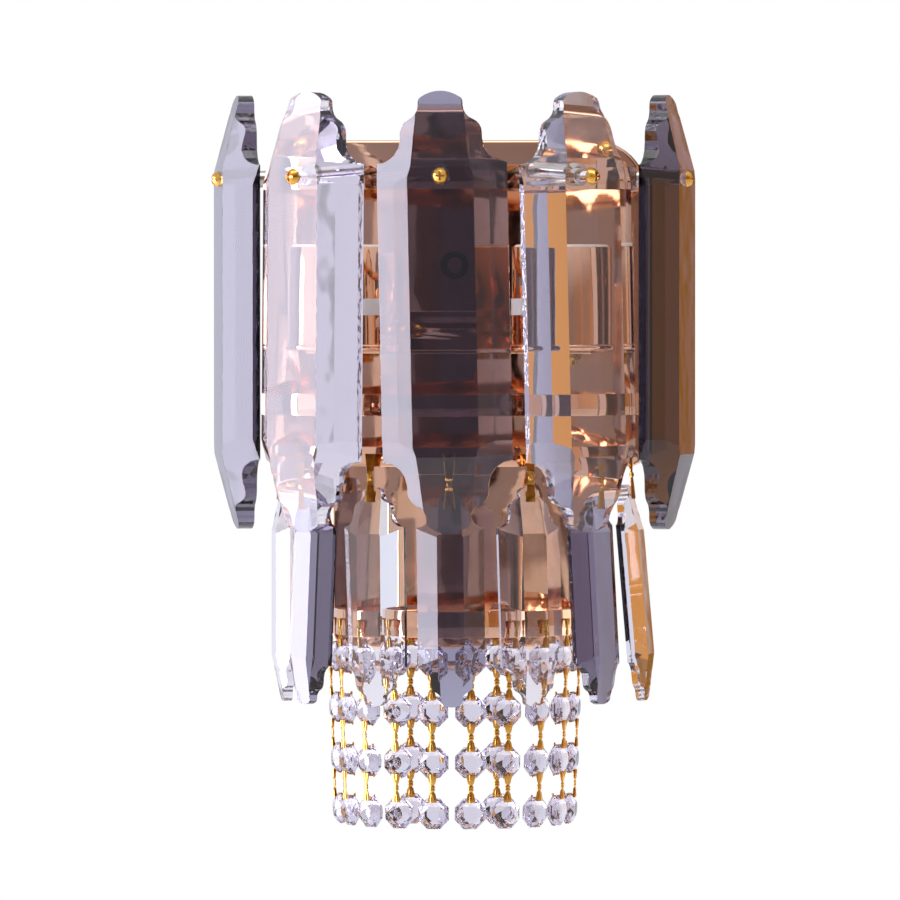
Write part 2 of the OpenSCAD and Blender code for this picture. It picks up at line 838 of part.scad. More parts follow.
module bead_ring()
    color("#d9a590")
        difference() {
            half_ring(bead_ring_r, bead_ring_h, bead_ring_mid_z);
            for (i = [1:FRONT_STRANDS])
                on_ring(strand_azimuth(i), bead_mid_r, bead_hook_z)
                    along_y(link_wire_d + 2 * link_hole_over, band_t, -band_t);
        }

module band_screws()
    color("#c9a45c")
        at_all_lugs()
            translate([0, ring_y - band_t, 0])
                domed_screw(lug_head_d, lug_head_h, lug_screw_d, band_t + plate_t + lug_screw_grip);

// A crystal cut from its outline, its cross section and its side view, then given four roof facets.
// Its back is the plane y = 0, its front looks to -y and its middle is z = 0. Ridge and foot are the
// inner and outer ends of the bevel that the roof facets fall away from, as [across, thickness].
module cut_crystal(quarter, section, len, width, t, tip_t, end_len, ridge, foot, roof_ridge,
                   roof_foot, roof_slope) {
    bevel = foot - ridge;
    bevel_turn = atan2(-bevel[1], bevel[0]);
    roof_swing = atan((roof_ridge - roof_foot) / norm(bevel));
    difference() {
        intersection() {
            rotate([90, 0, 0])
                linear_extrude(t)
                    polygon(four_fold(quarter));
            linear_extrude(len, center = true)
                polygon(concat(
                    [for (p = section) [p[0], -p[1]]],
                    [for (i = [len(section) - 1:-1:0]) [-section[i][0], -section[i][1]]]
                ));
            rotate([90, 0, 90])
                linear_extrude(width, center = true)
                    polygon([
                        [0, -len / 2], [-tip_t, -len / 2], [-t, end_len - len / 2],
                        [-t, len / 2 - end_len], [-tip_t, len / 2], [0, len / 2]
                    ]);
        }
        both_sides()
            for (end = [0, 1])
                mirror([0, 0, end])
                    translate([ridge[0], -ridge[1], len / 2 - roof_ridge])
                        rotate([0, 0, bevel_turn])
                            rotate([0, -roof_swing, 0])
                                rotate([-atan(roof_slope), 0, 0])
                                    translate([-width, -width, -width])
                                        cube([2 * width, width, 2 * width]);
    }
}

// Upper crystals
function crystal_color(i, first) = (i + first) % 2 == 0 ? "#d9d3e2" : "#6f6473";

module at_prism_screw(i)
    on_ring(PRISM_AZIMUTHS[i - 1], prism_back_r, screw_z)
        children();

module prism(i)
    color(crystal_color(i, 0))
        at_prism_screw(i)
            askew(0, PRISM_LEANS[i - 1])
                difference() {
                    translate([0, 0, prism_screw_from_tip - prism_len / 2])
                        cut_crystal(
                            quarter = ogee(prism_len, prism_w / 2, prism_crown_r, prism_tip_w,
                                           prism_corner_r, prism_tip_side, prism_neck_r,
                                           prism_shoulder_r, prism_straight),
                            section = [[prism_w / 2, 0], [prism_w / 2, prism_edge_t],
                                       [prism_w / 2 - prism_bevel_w, prism_ridge_t],
                                       [prism_table_w / 2, prism_t]],
                            len = prism_len, width = prism_w, t = prism_t, tip_t = prism_tip_t,
                            end_len = prism_end_len,
                            ridge = [prism_w / 2 - prism_bevel_w, prism_ridge_t],
                            foot = [prism_w / 2, prism_edge_t],
                            roof_ridge = prism_roof_len, roof_foot = prism_roof_len,
                            roof_slope = (prism_t - prism_tip_t) / prism_end_len
                        );
                    along_y(sleeve_d + 2 * pin_gap, overrun, -prism_t - overrun);
                }

module prism_screws()
    color("#d8ac52")
        for (i = [1:PRISMS])
            at_prism_screw(i)
                askew(0, PRISM_LEANS[i - 1])
                    translate([0, -prism_t - seat_gap, 0])
                        domed_screw(prism_head_d, prism_head_d * head_h_share, prism_screw_d,
                                    seat_gap + prism_t + prism_standoff + band_t + prism_nut_h
                                    + prism_screw_end);

module prism_sleeves()
    color("#c4c6ca")
        for (i = [1:PRISMS])
            at_prism_screw(i)
                difference() {
                    union() {
                        along_y(sleeve_d, prism_standoff, -prism_t);
                        along_y(collar_d, prism_standoff, 0);
                    }
                    along_y(prism_screw_d + 2 * fit_gap, prism_standoff + overrun, -prism_t - overrun);
                }

module prism_nuts()
    color("#d8ac52")
        for (i = [1:PRISMS])
            at_prism_screw(i)
                translate([0, prism_standoff + band_t + prism_nut_h + seat_gap, 0])
                    hex_nut(prism_nut_w, prism_nut_h, prism_screw_d + 2 * fit_gap);

// Clips and links: a flat bow with a wire prong at each end, bent over behind what it carries.
// The bow stands in the plane y = 0 and grows to -y, its upper prong is at z = 0 and its lower one
// at z = -pitch. The prongs run back to +y, and each ends in a leg towards the other.
module bow(width, waist, knob_d, over, pitch, thick, wire_d, upper_reach, lower_reach, leg_len) {
    rotate([90, 0, 0])
        linear_extrude(thick)
            polygon([
                [-width / 2, over], [width / 2, over], [waist / 2, -pitch / 2],
                [width / 2, -pitch - over], [-width / 2, -pitch - over], [-waist / 2, -pitch / 2]
            ]);
    translate([0, -thick / 2, -pitch / 2])
        sphere(d = knob_d);
    along_y(wire_d, upper_reach, -thick / 2);
    translate([0, upper_reach - wire_d / 2, -leg_len])
        cylinder(d = wire_d, h = leg_len);
    translate([0, 0, -pitch]) {
        along_y(wire_d, lower_reach, -thick / 2);
        translate([0, lower_reach - wire_d / 2, 0])
            cylinder(d = wire_d, h = leg_len);
    }
}

// Hanging crystals
function drop_thickness(from_tip) = drop_tip_t + (drop_t - drop_tip_t) * from_tip / drop_end_len;
clip_y = drop_back_y - drop_thickness(drop_hole_from_tip + clip_over) - hang_gap;

// Frame of one hanging crystal: its origin is the hook ring's hole
module at_drop(i)
    on_ring(DROP_AZIMUTHS[i - 1], hook_mid_r, hook_z)
        askew(DROP_TILTS[i - 1], 0)
            children();

module drop(i)
    color(crystal_color(i, 1))
        at_drop(i)
            translate([0, drop_back_y, -clip_pitch])
                askew(0, DROP_LEANS[i - 1])
                    difference() {
                        translate([0, 0, drop_hole_from_tip - drop_len / 2])
                            cut_crystal(
                                quarter = ogee(drop_len, drop_w / 2, drop_crown_r, drop_tip_w,
                                               drop_corner_r, drop_tip_side, drop_neck_r,
                                               drop_shoulder_r, drop_straight),
                                section = [[drop_w / 2, 0], [drop_w / 2, drop_edge_t],
                                           [drop_table_w / 2, drop_t]],
                                len = drop_len, width = drop_w, t = drop_t, tip_t = drop_tip_t,
                                end_len = drop_end_len,
                                ridge = [drop_table_w / 2, drop_t],
                                foot = [drop_w / 2, drop_edge_t],
                                roof_ridge = drop_roof_ridge, roof_foot = drop_roof_foot,
                                roof_slope = (drop_t - drop_tip_t) / drop_end_len
                            );
                        along_y(clip_wire_d + 2 * pin_gap, overrun, -drop_t - overrun);
                    }

module drop_clips()
    color("#d8ac52")
        for (i = [1:DROPS])
            at_drop(i)
                translate([0, clip_y, 0]) {
                    bow(clip_w, clip_waist, clip_waist, clip_over, clip_pitch, clip_t, clip_wire_d,
                        band_t / 2 + hang_gap + clip_wire_d - clip_y,
                        drop_back_y + hang_gap + clip_wire_d - clip_y, clip_leg_len);
                    clip_ribs();
                }

// Raised ribs that fan out over both halves of a clip
module clip_ribs()
    for (half = [0, 1])
        translate([0, 0, -clip_pitch / 2])
            mirror([0, 0, half])
                for (i = [0:CLIP_RIBS - 1]) {
                    half_len = clip_pitch / 2 + clip_over;
                    share = i / (CLIP_RIBS - 1) - 1 / 2;
                    spread = atan(share * (clip_w - clip_rib_w) / half_len);
                    rotate([0, spread, 0])
                        translate([-clip_rib_w / 2, -clip_t - clip_rib_t, clip_waist / 2])
                            cube([clip_rib_w, clip_t / 2 + clip_rib_t, half_len - clip_waist]);
                }

// Bead strands
function strand_azimuth(i) = STRAND_FIRST_AZIMUTH + STRAND_STEP * (i - 1);
function back_side(i) = i == STRANDS ? 1 : -1;

// Frame of one strand: its origin is the hole that it hangs from
module at_strand(i)
    if (i <= FRONT_STRANDS)
        on_ring(strand_azimuth(i), bead_mid_r, bead_hook_z)
            askew(STRAND_TILT, 0)
                children();
    else
        translate([back_side(i) * back_strand_x, face_y - back_strand_out, bead_hook_z])
            children();

bead_hole_pitch = bead_w - 2 * bead_hole_in;
bead_pitch = bead_hole_pitch + link_pitch;
first_link_pitch = bead_ring_h / 2 + bead_ring_low + first_bead_gap + bead_hole_in;
bead_slope = (bead_t - bead_girdle_t) / (bead_w - bead_table_w);
bead_half_at_hole = bead_girdle_t / 2 + bead_slope * (bead_w - bead_hole_pitch) / 2;
link_y = -max(bead_half_at_hole + bead_slope * link_bow_over + pin_gap, band_t / 2 + link_band_gap);

module bead() {
    half = bead_w / 2;
    difference() {
        intersection_for(turn = [0:45:135])
            rotate([0, turn, 0])
                linear_extrude(2 * bead_w, center = true)
                    polygon([
                        [half, -bead_girdle_t / 2], [half, bead_girdle_t / 2],
                        [bead_table_w / 2, bead_t / 2], [-bead_table_w / 2, bead_t / 2],
                        [-half, bead_girdle_t / 2], [-half, -bead_girdle_t / 2],
                        [-bead_table_w / 2, -bead_t / 2], [bead_table_w / 2, -bead_t / 2]
                    ]);
        for (side = [-1, 1])
            translate([0, 0, side * bead_hole_pitch / 2])
                along_y(link_wire_d + 2 * pin_gap, bead_t, -bead_t);
    }
}

module beads(i)
    color("#cfc8dc")
        at_strand(i)
            for (k = [0:bead_count - 1])
                translate([0, 0, -first_link_pitch - bead_hole_pitch / 2 - bead_pitch * k])
                    bead();

module links(i)
    color("#d8ac52")
        at_strand(i)
            for (k = [0:bead_count - 1]) {
                pitch = k == 0 ? first_link_pitch : link_pitch;
                behind = k == 0 ? band_t / 2 + link_band_gap : bead_half_at_hole + pin_gap;
                translate([0, link_y, k == 0 ? 0 : -first_link_pitch - bead_pitch * k + link_pitch])
                    bow(link_w, link_waist, link_knob_d, link_bow_over, pitch, link_t, link_wire_d,
                        behind + link_wire_d - link_y,
                        bead_half_at_hole + pin_gap + link_wire_d - link_y, link_leg_len);
            }

mounting_bar();
mounting_studs();
cap_nuts();
wall_plate();
terminal_block();
terminal_screws();
earth_screw();
cable_grommet();
lamp_bracket();
lamp_bracket_screws();
lampholder_left();
lampholder_right();
lamp_cups();
socket_shells();
socket_contacts();
holder_nipples();
top_band();
lower_band();
hook_ring();
bead_ring();
band_screws();
prism_screws();
prism_sleeves();
prism_nuts();
drop_clips();
for (i = [1:PRISMS])
    prism(i);
for (i = [1:DROPS])
    drop(i);
for (i = [1:STRANDS])
    beads(i);
for (i = [1:STRANDS])
    links(i);
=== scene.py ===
"""Looks of the crystal wall sconce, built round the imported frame.

Shapes are worked out in millimetres, in the frame's axes, and brought to metres in make_piece.
"""

import math
from types import SimpleNamespace

import bmesh
import bpy
from mathutils import Matrix, Vector


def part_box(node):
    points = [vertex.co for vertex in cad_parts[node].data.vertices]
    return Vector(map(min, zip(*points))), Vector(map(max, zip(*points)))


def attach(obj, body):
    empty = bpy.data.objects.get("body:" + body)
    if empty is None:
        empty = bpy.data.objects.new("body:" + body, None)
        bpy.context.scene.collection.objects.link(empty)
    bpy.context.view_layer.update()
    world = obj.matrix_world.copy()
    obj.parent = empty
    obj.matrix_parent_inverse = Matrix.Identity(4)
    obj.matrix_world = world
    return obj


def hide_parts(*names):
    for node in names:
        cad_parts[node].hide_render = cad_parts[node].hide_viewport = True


bl_info = {
    "name": "Crystal wall sconce",
    "version": (1, 0, 0),
    "blender": (4, 5, 0),
    "location": "View3D > Sidebar > Sconce",
    "description": "Builds the looks of a crystal wall sconce round its frame",
    "category": "Object",
}

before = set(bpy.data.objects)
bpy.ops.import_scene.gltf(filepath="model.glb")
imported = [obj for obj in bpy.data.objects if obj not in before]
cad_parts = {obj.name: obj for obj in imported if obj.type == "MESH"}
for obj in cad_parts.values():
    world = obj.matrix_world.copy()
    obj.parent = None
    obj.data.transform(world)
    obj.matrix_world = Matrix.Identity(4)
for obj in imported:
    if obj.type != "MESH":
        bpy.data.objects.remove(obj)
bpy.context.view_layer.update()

MM = 0.001
MERGE = 0.002

# Millimetres and degrees; azimuths are counted from the front, to the right
RING_Y = -25.0
PRISM_AZIMUTHS = (-77.5, -38.4, -0.3, 37.3, 77.5)
PRISM_LEANS = (0, -0.6, 1.2, 1.7, 0)
DROP_AZIMUTHS = (-75.5, -50, -24.5, 1.5, 27.5, 53, 78.5)
DROP_LEANS = (0, -1, 0.6, 0.6, 1, 1, 0)
DROP_TILTS = (0, 2, 0, 0, 2, 3, 5)
FRONT_STRANDS = 10
STRAND_FIRST_AZIMUTH = -79.5
STRAND_STEP = 18
STRAND_TILT = -2
BACK_STRAND_X = 20
BACK_STRAND_OUT = 11
OGEE_TURN = 68.4
GLASS_PATH = 14
NIPPLE_BORE = 5.05
LABEL_FACING = {"left": 42, "right": -66}

# Metres from the wall to the middle of the sconce, where the lights and the camera look
MIDDLE_Y = -0.08

# What stands round the object, as azimuths and colours
ROOM = ((-180, "#6a4420"), (-178.35, "#7a4c1e"), (-178.2, "#c98a3a"), (-178.05, "#4a3a34"),
        (-177.95, "#2c2a30"), (-177.8, "#8d8c98"), (-177.6, "#dddbe6"), (-168, "#dddce8"),
        (-155, "#dfe1ef"), (-120, "#f2f3fa"), (-90, "#e8e8f1"), (-60, "#f2f0f6"), (-28, "#e4e0ee"),
        (-14, "#a29eae"), (0, "#908b98"), (18, "#8d7d76"), (40, "#a87a50"), (62, "#dcb896"),
        (88, "#d0c9d8"), (114, "#d4cfe0"), (119, "#6c5038"), (126, "#2f2620"),
        (144, "#241a14"), (148, "#c98434"), (156, "#d08a36"), (160, "#2a1c12"), (172, "#140f0e"),
        (180, "#6a4420"))


def linear(hex_colour):
    """An sRGB hex colour as linear red, green, blue and alpha."""
    channels = [int(hex_colour[i:i + 2], 16) / 255 for i in (1, 3, 5)]
    return tuple(c / 12.92 if c <= 0.04045 else ((c + 0.055) / 1.055) ** 2.4 for c in channels) + (1.0,)


def length(name, description, mm, low=0.0):
    """A length property that is shown in the scene's unit and kept in metres."""
    return bpy.props.FloatProperty(name=name, description=description, default=mm * MM, min=low,
                                   unit="LENGTH", subtype="DISTANCE", precision=5)


def colour(name, description, hex_colour):
    """A colour property from an sRGB hex value."""
    return bpy.props.FloatVectorProperty(name=name, description=description, subtype="COLOR", size=3,
                                         min=0, max=1, default=linear(hex_colour)[:3])


def power(side, watts):
    """A softbox's power property."""
    return bpy.props.FloatProperty(name=f"{side} softbox", default=watts, min=0, unit="POWER",
                                   description=f"Power of the {side.lower()} softbox")


class SconceFinishes(bpy.types.PropertyGroup):
    """Colours of the finishes."""

    rose_gold: colour("Rose gold", "Polished plating of the plate and bands", "#ecc5a8")
    yellow_gold: colour("Yellow gold", "Plating of the screws, clips and links", "#e6b65c")
    smoke_coat: colour("Smoke coat", "What the smoky coat on both faces lets through", "#b6b6ca")
    smoked: colour("Smoked glass", "What 14 mm of the coated glass itself lets through", "#d2ccd1")
    clear: colour("Clear crystal", "What 14 mm of the clear glass lets through", "#f7f6f9")
    bead: colour("Bead glass", "What 14 mm of the beads' glass lets through", "#d7d3e0")
    holder: colour("Lampholder", "Moulded lampholders", "#efeae0")


class SconcePlate(bpy.types.PropertyGroup):
    """Sizes of the wall plate."""

    depth: length("Depth", "From the wall to the plate's face", 25)
    sheet: length("Sheet", "Thickness of the sheet metal", 1.2)
    half_wide: length("Half width", "Half of the width of the wide part", 88.0)
    half_narrow: length("Half width below", "Half of the width of the narrow part", 57.61)
    above: length("Above", "Height above the mounting axis", 15.8)
    step: length("Step", "Distance of the step below the mounting axis", 135.8)
    below: length("Below", "Distance of the lower edge below the mounting axis", 220)
    top_corner: length("Upper corner radius", "Radius of the outline's upper corners", 24)
    corner: length("Corner radius", "Radius of the outline's other corners", 8)
    fold: length("Fold radius", "Radius of the pressed edge round the face", 1.6)


class SconceBands(bpy.types.PropertyGroup):
    """Sizes of the bands and rings."""

    strip: length("Strip", "Thickness of the strip metal", 1.2)
    band_radius: length("Band radius", "Outer radius of the top and lower bands", 87.40)
    hook_radius: length("Hook ring radius", "Outer radius of the hook ring", 80.0)
    bead_radius: length("Bead ring radius", "Outer radius of the bead ring", 57.01)
    lug: length("Lug", "Length of the lugs on the plate", 10)
    bend: length("Bend radius", "Inner radius of the bend at each lug", 0.8)
    screw: length("Screw head", "Diameter of the lug screws' heads", 5.6)


class SconceLamps(bpy.types.PropertyGroup):
    """Sizes of the lampholders."""

    diameter: length("Diameter", "Diameter of a lampholder", 40)
    height: length("Height", "Height of a lampholder", 47.5)
    foot: length("Foot", "Diameter of its foot", 34)
    cup: length("Cup", "Thickness of the metal cups", 1)
    label_high: length("Label", "Height of the blank label on each cup", 7.6)
    shell: length("Shell", "Inner diameter of the threaded shell", 26.4)
    pitch: length("Thread pitch", "Pitch of the rolled thread", 3.6)


class SconceUpper(bpy.types.PropertyGroup):
    """Sizes of the upper crystals."""

    long: length("Length", "Length of an upper crystal", 200)
    wide: length("Width", "Width of an upper crystal", 59)
    thick: length("Thickness", "Thickness at the table", 15.5)
    edge: length("Edge", "Thickness of the side edges", 3.5)
    bevel: length("Bevel", "Width of the outer bevel", 7.8)
    ridge: length("Ridge", "Thickness between the two bevels", 10.5)
    table: length("Table", "Width of the flat table", 30)
    tip: length("Tip", "Thickness at the tips", 6.6)
    end: length("End facet", "Length of the sloping facet at each end", 34.6)
    roof: length("Roof", "Distance from the tip to the foot of the roof facets", 41.6)
    crown: length("Crown radius", "Radius of the crown of the tip", 15)
    tip_wide: length("Tip width", "Width of the tip", 19.8)
    corner: length("Tip corner radius", "Radius of the tip's corners", 3)
    tip_side: length("Tip side", "Straight side of the tip", 1.3)
    neck: length("Neck radius", "Radius of the hollow below the tip", 6.7)
    shoulder: length("Shoulder radius", "Radius of the shoulder", 6.7)
    straight: length("Straight", "Straight side below the shoulder", 2.5)
    hole_from_tip: length("Hole", "Distance of the screw from the upper tip", 38.6)
    sleeve: length("Sleeve", "Diameter of the metal sleeve", 5)
    head: length("Screw head", "Diameter of the domed screw head", 7.6)
    standoff: length("Standoff", "Distance between band and crystal", 8)


class SconceHanging(bpy.types.PropertyGroup):
    """Sizes of the hanging crystals and their clips."""

    long: length("Length", "Length of a hanging crystal", 100)
    wide: length("Width", "Width of a hanging crystal", 30.61)
    thick: length("Thickness", "Thickness at the table", 8)
    edge: length("Edge", "Thickness of the side edges", 2.2)
    table: length("Table", "Width of the flat table", 12)
    tip: length("Tip", "Thickness at the tips", 3.7)
    end: length("End facet", "Length of the sloping facet at each end", 21.3)
    roof: length("Roof, inner", "Distance from the tip to the inner foot of the roof facets", 22.5)
    roof_foot: length("Roof, outer", "Distance from the tip to the outer foot of the roof facets", 18.8)
    crown: length("Crown radius", "Radius of the crown of the tip", 7.5)
    tip_wide: length("Tip width", "Width of the tip", 9.6)
    corner: length("Tip corner radius", "Radius of the tip's corners", 1.5)
    tip_side: length("Tip side", "Straight side of the tip", 0.8)
    neck: length("Neck radius", "Radius of the hollow below the tip", 3.75)
    shoulder: length("Shoulder radius", "Radius of the shoulder", 3.75)
    straight: length("Straight", "Straight side below the shoulder", 2.2)
    hole_from_tip: length("Hole", "Distance of the hole from the upper tip", 5.4)
    clip_pitch: length("Clip pitch", "Distance between a clip's prongs", 19.2)
    clip_over: length("Clip overrun", "How far a clip runs past its prongs", 1.4)
    clip_wide: length("Clip width", "Width of a clip's ends", 5.5)
    clip_waist: length("Clip waist", "Width of a clip's waist", 2.8)
    clip_wire: length("Clip wire", "Diameter of a clip's prongs", 1.2)


class SconceBeads(bpy.types.PropertyGroup):
    """Sizes of the bead strands."""

    wide: length("Bead", "Width of a bead across its flats", 14)
    thick: length("Bead thickness", "Thickness of a bead", 7)
    girdle: length("Girdle", "Thickness of a bead's girdle", 1.4)
    table: length("Bead table", "Width of a bead's table", 7)
    hole_in: length("Hole", "Distance of a bead's holes from its edge", 1.2)
    link_pitch: length("Link pitch", "Distance between a link's prongs", 11.9)
    link_wide: length("Link width", "Width of a link's bells", 3.7)
    link_knob: length("Link ball", "Diameter of the double ring in a link's middle", 2.6)
    link_waist: length("Link waist", "Width of a link beside its rings", 1.7)
    link_wire: length("Link wire", "Diameter of a link's prongs", 1)
    count: bpy.props.IntProperty(name="Beads", description="Beads on a strand", default=4, min=1, max=4)


class SconceStudio(bpy.types.PropertyGroup):
    """Camera and lights."""

    azimuth: bpy.props.FloatProperty(name="Azimuth", description="Camera's place round the object",
                                     default=math.radians(3.3), subtype="ANGLE")
    distance: length("Distance", "From the camera to the front crystals", 3700)
    eye: length("Eye level", "Height of the camera above the mounting axis", -64, low=-10)
    aim_x: length("Aim across", "Where the picture's middle lies, across", 0.7, low=-10)
    aim_z: length("Aim up", "Where the picture's middle lies, up", -127, low=-10)
    picture: length("Picture width", "Width of what the picture takes in at that distance", 406.35)
    left_power: power("Left", 72)
    right_power: power("Right", 5)
    top_power: power("Top", 10)
    floor_drop: length("Floor", "Distance of the floor below the mounting axis", 900)


class SconceSettings(bpy.types.PropertyGroup):
    """Everything that the panel shows."""

    finishes: bpy.props.PointerProperty(type=SconceFinishes)
    plate: bpy.props.PointerProperty(type=SconcePlate)
    bands: bpy.props.PointerProperty(type=SconceBands)
    lamps: bpy.props.PointerProperty(type=SconceLamps)
    upper: bpy.props.PointerProperty(type=SconceUpper)
    hanging: bpy.props.PointerProperty(type=SconceHanging)
    beads: bpy.props.PointerProperty(type=SconceBeads)
    studio: bpy.props.PointerProperty(type=SconceStudio)


def in_mm(group):
    """A settings group's lengths in millimetres, its other values as they are."""
    values = {}
    for key in group.__annotations__:
        value = getattr(group, key)
        is_length = group.bl_rna.properties[key].unit == "LENGTH"
        values[key] = value / MM if is_length else value
    return SimpleNamespace(**values)


# Materials

def node(material, kind, settings=None, **inputs):
    """Adds a node with its settings and inputs, each a value or another node's output."""
    made = material.node_tree.nodes.new(kind)
    for key, value in (settings or {}).items():
        setattr(made, key, value)
    for key, value in inputs.items():
        name = key.replace("_", " ")
        socket = made.inputs[int(key[1:])] if key[0] == "i" and key[1:].isdigit() else made.inputs[name]
        if isinstance(value, bpy.types.NodeSocket):
            material.node_tree.links.new(value, socket)
        else:
            socket.default_value = value
    return made


def new_material(name):
    """An empty node material with its output, and the object coordinates in metres."""
    material = bpy.data.materials.new(name)
    material.use_nodes = True
    material.node_tree.nodes.clear()
    output = node(material, "ShaderNodeOutputMaterial")
    place = node(material, "ShaderNodeTexCoord").outputs["Object"]
    return material, output, place


def surface(material, output, **inputs):
    """Gives a material its principled shader."""
    shader = node(material, "ShaderNodeBsdfPrincipled", **inputs)
    material.node_tree.links.new(shader.outputs["BSDF"], output.inputs["Surface"])


def per_metre(mm):
    """The texture scale that gives features of this size."""
    return 1 / (mm * MM)


def noise(material, place, mm, detail, roughness=0.5):
    """Noise with patches of a given size."""
    return node(material, "ShaderNodeTexNoise", Vector=place, Scale=per_metre(mm), Detail=detail,
                Roughness=roughness).outputs["Fac"]


def cells(material, place, mm):
    """Distances inside cells of a given size."""
    return node(material, "ShaderNodeTexVoronoi", Vector=place, Scale=per_metre(mm)).outputs["Distance"]


def stretched(material, place, scale):
    """Coordinates that are stretched along an axis."""
    return node(material, "ShaderNodeMapping", Vector=place, Scale=scale).outputs["Vector"]


def blend(material, share, a, b):
    """A colour between two others."""
    return node(material, "ShaderNodeMix", {"data_type": "RGBA"}, Factor=share, A=a,
                B=b).outputs["Result"]


def haze(material, place, mm, low, high):
    """A roughness that wanders between two values over patches of a given size."""
    return node(material, "ShaderNodeMapRange", Value=noise(material, place, mm, 3.0, 0.55),
                From_Min=0.3, From_Max=0.7, To_Min=low, To_Max=high).outputs["Result"]


def relief(material, height, mm, strength, **under):
    """A bump of a given depth."""
    return node(material, "ShaderNodeBump", Height=height, Distance=mm * MM, Strength=strength,
                **under).outputs["Normal"]


def plated(name, base, low, high, patch, tarnish, scratch=0.02):
    """Bright electroplating on polished metal.

    It gives the eye a mirror with a breath of haze that comes and goes, the slight waviness of a
    buffed surface, and hair scratches from the polishing wheel.
    """
    material, output, place = new_material(name)
    tone = blend(material, noise(material, place, patch, 2.0), base, tarnish)
    buffed = relief(material, noise(material, place, 9, 1.0), 0.05, 0.35)
    hair = noise(material, stretched(material, place, (1, 1, 14)), 6, 6.0, 0.8)
    surface(material, output, Metallic=1.0, Base_Color=tone,
            Roughness=haze(material, place, patch / 3, low, high),
            Normal=relief(material, hair, 0.01, scratch, Normal=buffed))
    return material


def crystal_glass(name, coat, through, grit=0.0):
    """Heavy cut glass with a coat on its faces, coloured through its thickness.

    Polished faces give sharp refractions with the faint ripple of the polishing belt. With grit it is
    the fire-polished edge of the same glass: still clear, but wavy, with glints and the odd small chip.
    """
    material, output, place = new_material(name)
    if grit:
        height = node(material, "ShaderNodeMath", {"operation": "ADD"},
                      i0=noise(material, place, 5, 2.0), i1=cells(material, place, 3.2))
        bumped = relief(material, height.outputs["Value"], 0.3, grit)
        rough = haze(material, place, 2.5, 0.0, 0.08)
    else:
        bumped = relief(material, noise(material, place, 16, 1.0), 0.08, 0.3)
        rough = haze(material, place, 30, 0.0, 0.015)
    surface(material, output, Base_Color=coat, IOR=1.54, Transmission_Weight=1.0, Roughness=rough,
            Normal=bumped)
    path = GLASS_PATH * MM
    density = -math.log(min(through)) / path
    tint = tuple(1 + math.log(c) / path / density for c in through)
    volume = node(material, "ShaderNodeVolumeAbsorption", Color=tint + (1.0,), Density=density)
    material.node_tree.links.new(volume.outputs["Volume"], output.inputs["Volume"])
    return material


def moulded(name, base, rough, grain_mm, bump, coat=0.0):
    """Moulded plastic, rubber or pressed paper.

    It gives the eye a slight mottling and the orange peel of a mould.
    """
    material, output, place = new_material(name)
    darker = tuple(c * 0.9 for c in base[:3]) + (1.0,)
    peel = noise(material, place, grain_mm, 3.0)
    surface(material, output, IOR=1.5, Coat_Weight=coat, Coat_Roughness=0.1,
            Base_Color=blend(material, noise(material, place, 12, 3.0), darker, base),
            Roughness=haze(material, place, 8, rough * 0.8, rough * 1.2),
            Normal=relief(material, peel, 0.06, bump))
    return material


def zinc_strip(name):
    """Zinc-plated pressed steel strip.

    It gives the eye a cool grey with the rolling lines of the strip along x and soft spangled patches.
    """
    material, output, place = new_material(name)
    lines = noise(material, stretched(material, place, (0.05, 1, 1)), 0.5, 4.0)
    surface(material, output, Metallic=1.0,
            Base_Color=blend(material, cells(material, place, 5), linear("#aeb4ba"), linear("#d3d6d8")),
            Roughness=haze(material, place, 6, 0.28, 0.45),
            Normal=relief(material, lines, 0.03, 0.5))
    return material


MADE = {}


def finishes():
    """Every material of the sconce by its plain name, made once."""
    if not MADE:
        chosen = bpy.context.scene.sconce.finishes
        rose, gold, holder, coat = (tuple(c) + (1.0,) for c in (
            chosen.rose_gold, chosen.yellow_gold, chosen.holder, chosen.smoke_coat))
        smoked, clear, bead = (tuple(c) for c in (chosen.smoked, chosen.clear, chosen.bead))
        bare = (1.0, 1.0, 1.0, 1.0)
        MADE.update(
            rose_gold=plated("rose_gold_electroplate", rose, 0.03, 0.10, 30, linear("#d4a07c")),
            yellow_gold=plated("yellow_gold_electroplate", gold, 0.08, 0.2, 3, linear("#b27a30")),
            nickel=plated("bright_nickel_electroplate", linear("#c9c8c4"), 0.08, 0.2, 6,
                          linear("#b5b0a6")),
            brass=plated("turned_brass", linear("#d9b368"), 0.18, 0.32, 5, linear("#b98b45"), 0.2),
            smoked_polished=crystal_glass("smoked_crystal_polished", coat, smoked),
            smoked_edge=crystal_glass("smoked_crystal_edge", coat, smoked, 0.25),
            clear_polished=crystal_glass("clear_crystal_polished", bare, clear),
            clear_edge=crystal_glass("clear_crystal_edge", bare, clear, 0.25),
            bead=crystal_glass("bead_crystal_polished", bare, bead),
            thermoset=moulded("lampholder_thermoset", holder, 0.28, 1.5, 0.15, 0.3),
            paper=moulded("blank_label_paper", linear("#f6f3ee"), 0.6, 0.4, 0.1),
            polyamide=moulded("terminal_polyamide", linear("#e9e5d9"), 0.45, 0.8, 0.25),
            rubber=moulded("soft_black_rubber", linear("#1d1b1b"), 0.7, 0.6, 0.4),
            zinc=zinc_strip("zinc_plated_strip"))
    return SimpleNamespace(**MADE)


def glass(kind):
    """A crystal's two materials: its polished faces and its edge."""
    return [MADE[kind + "_polished"], MADE[kind + "_edge"]]


# Shapes

def on_ring(azimuth, radius, z):
    """The place at an azimuth, a radius and a height of the rings, with its front looking outwards."""
    return (Matrix.Translation((0, RING_Y, z)) @ Matrix.Rotation(math.radians(azimuth), 4, "Z")
            @ Matrix.Translation((0, -radius, 0)))


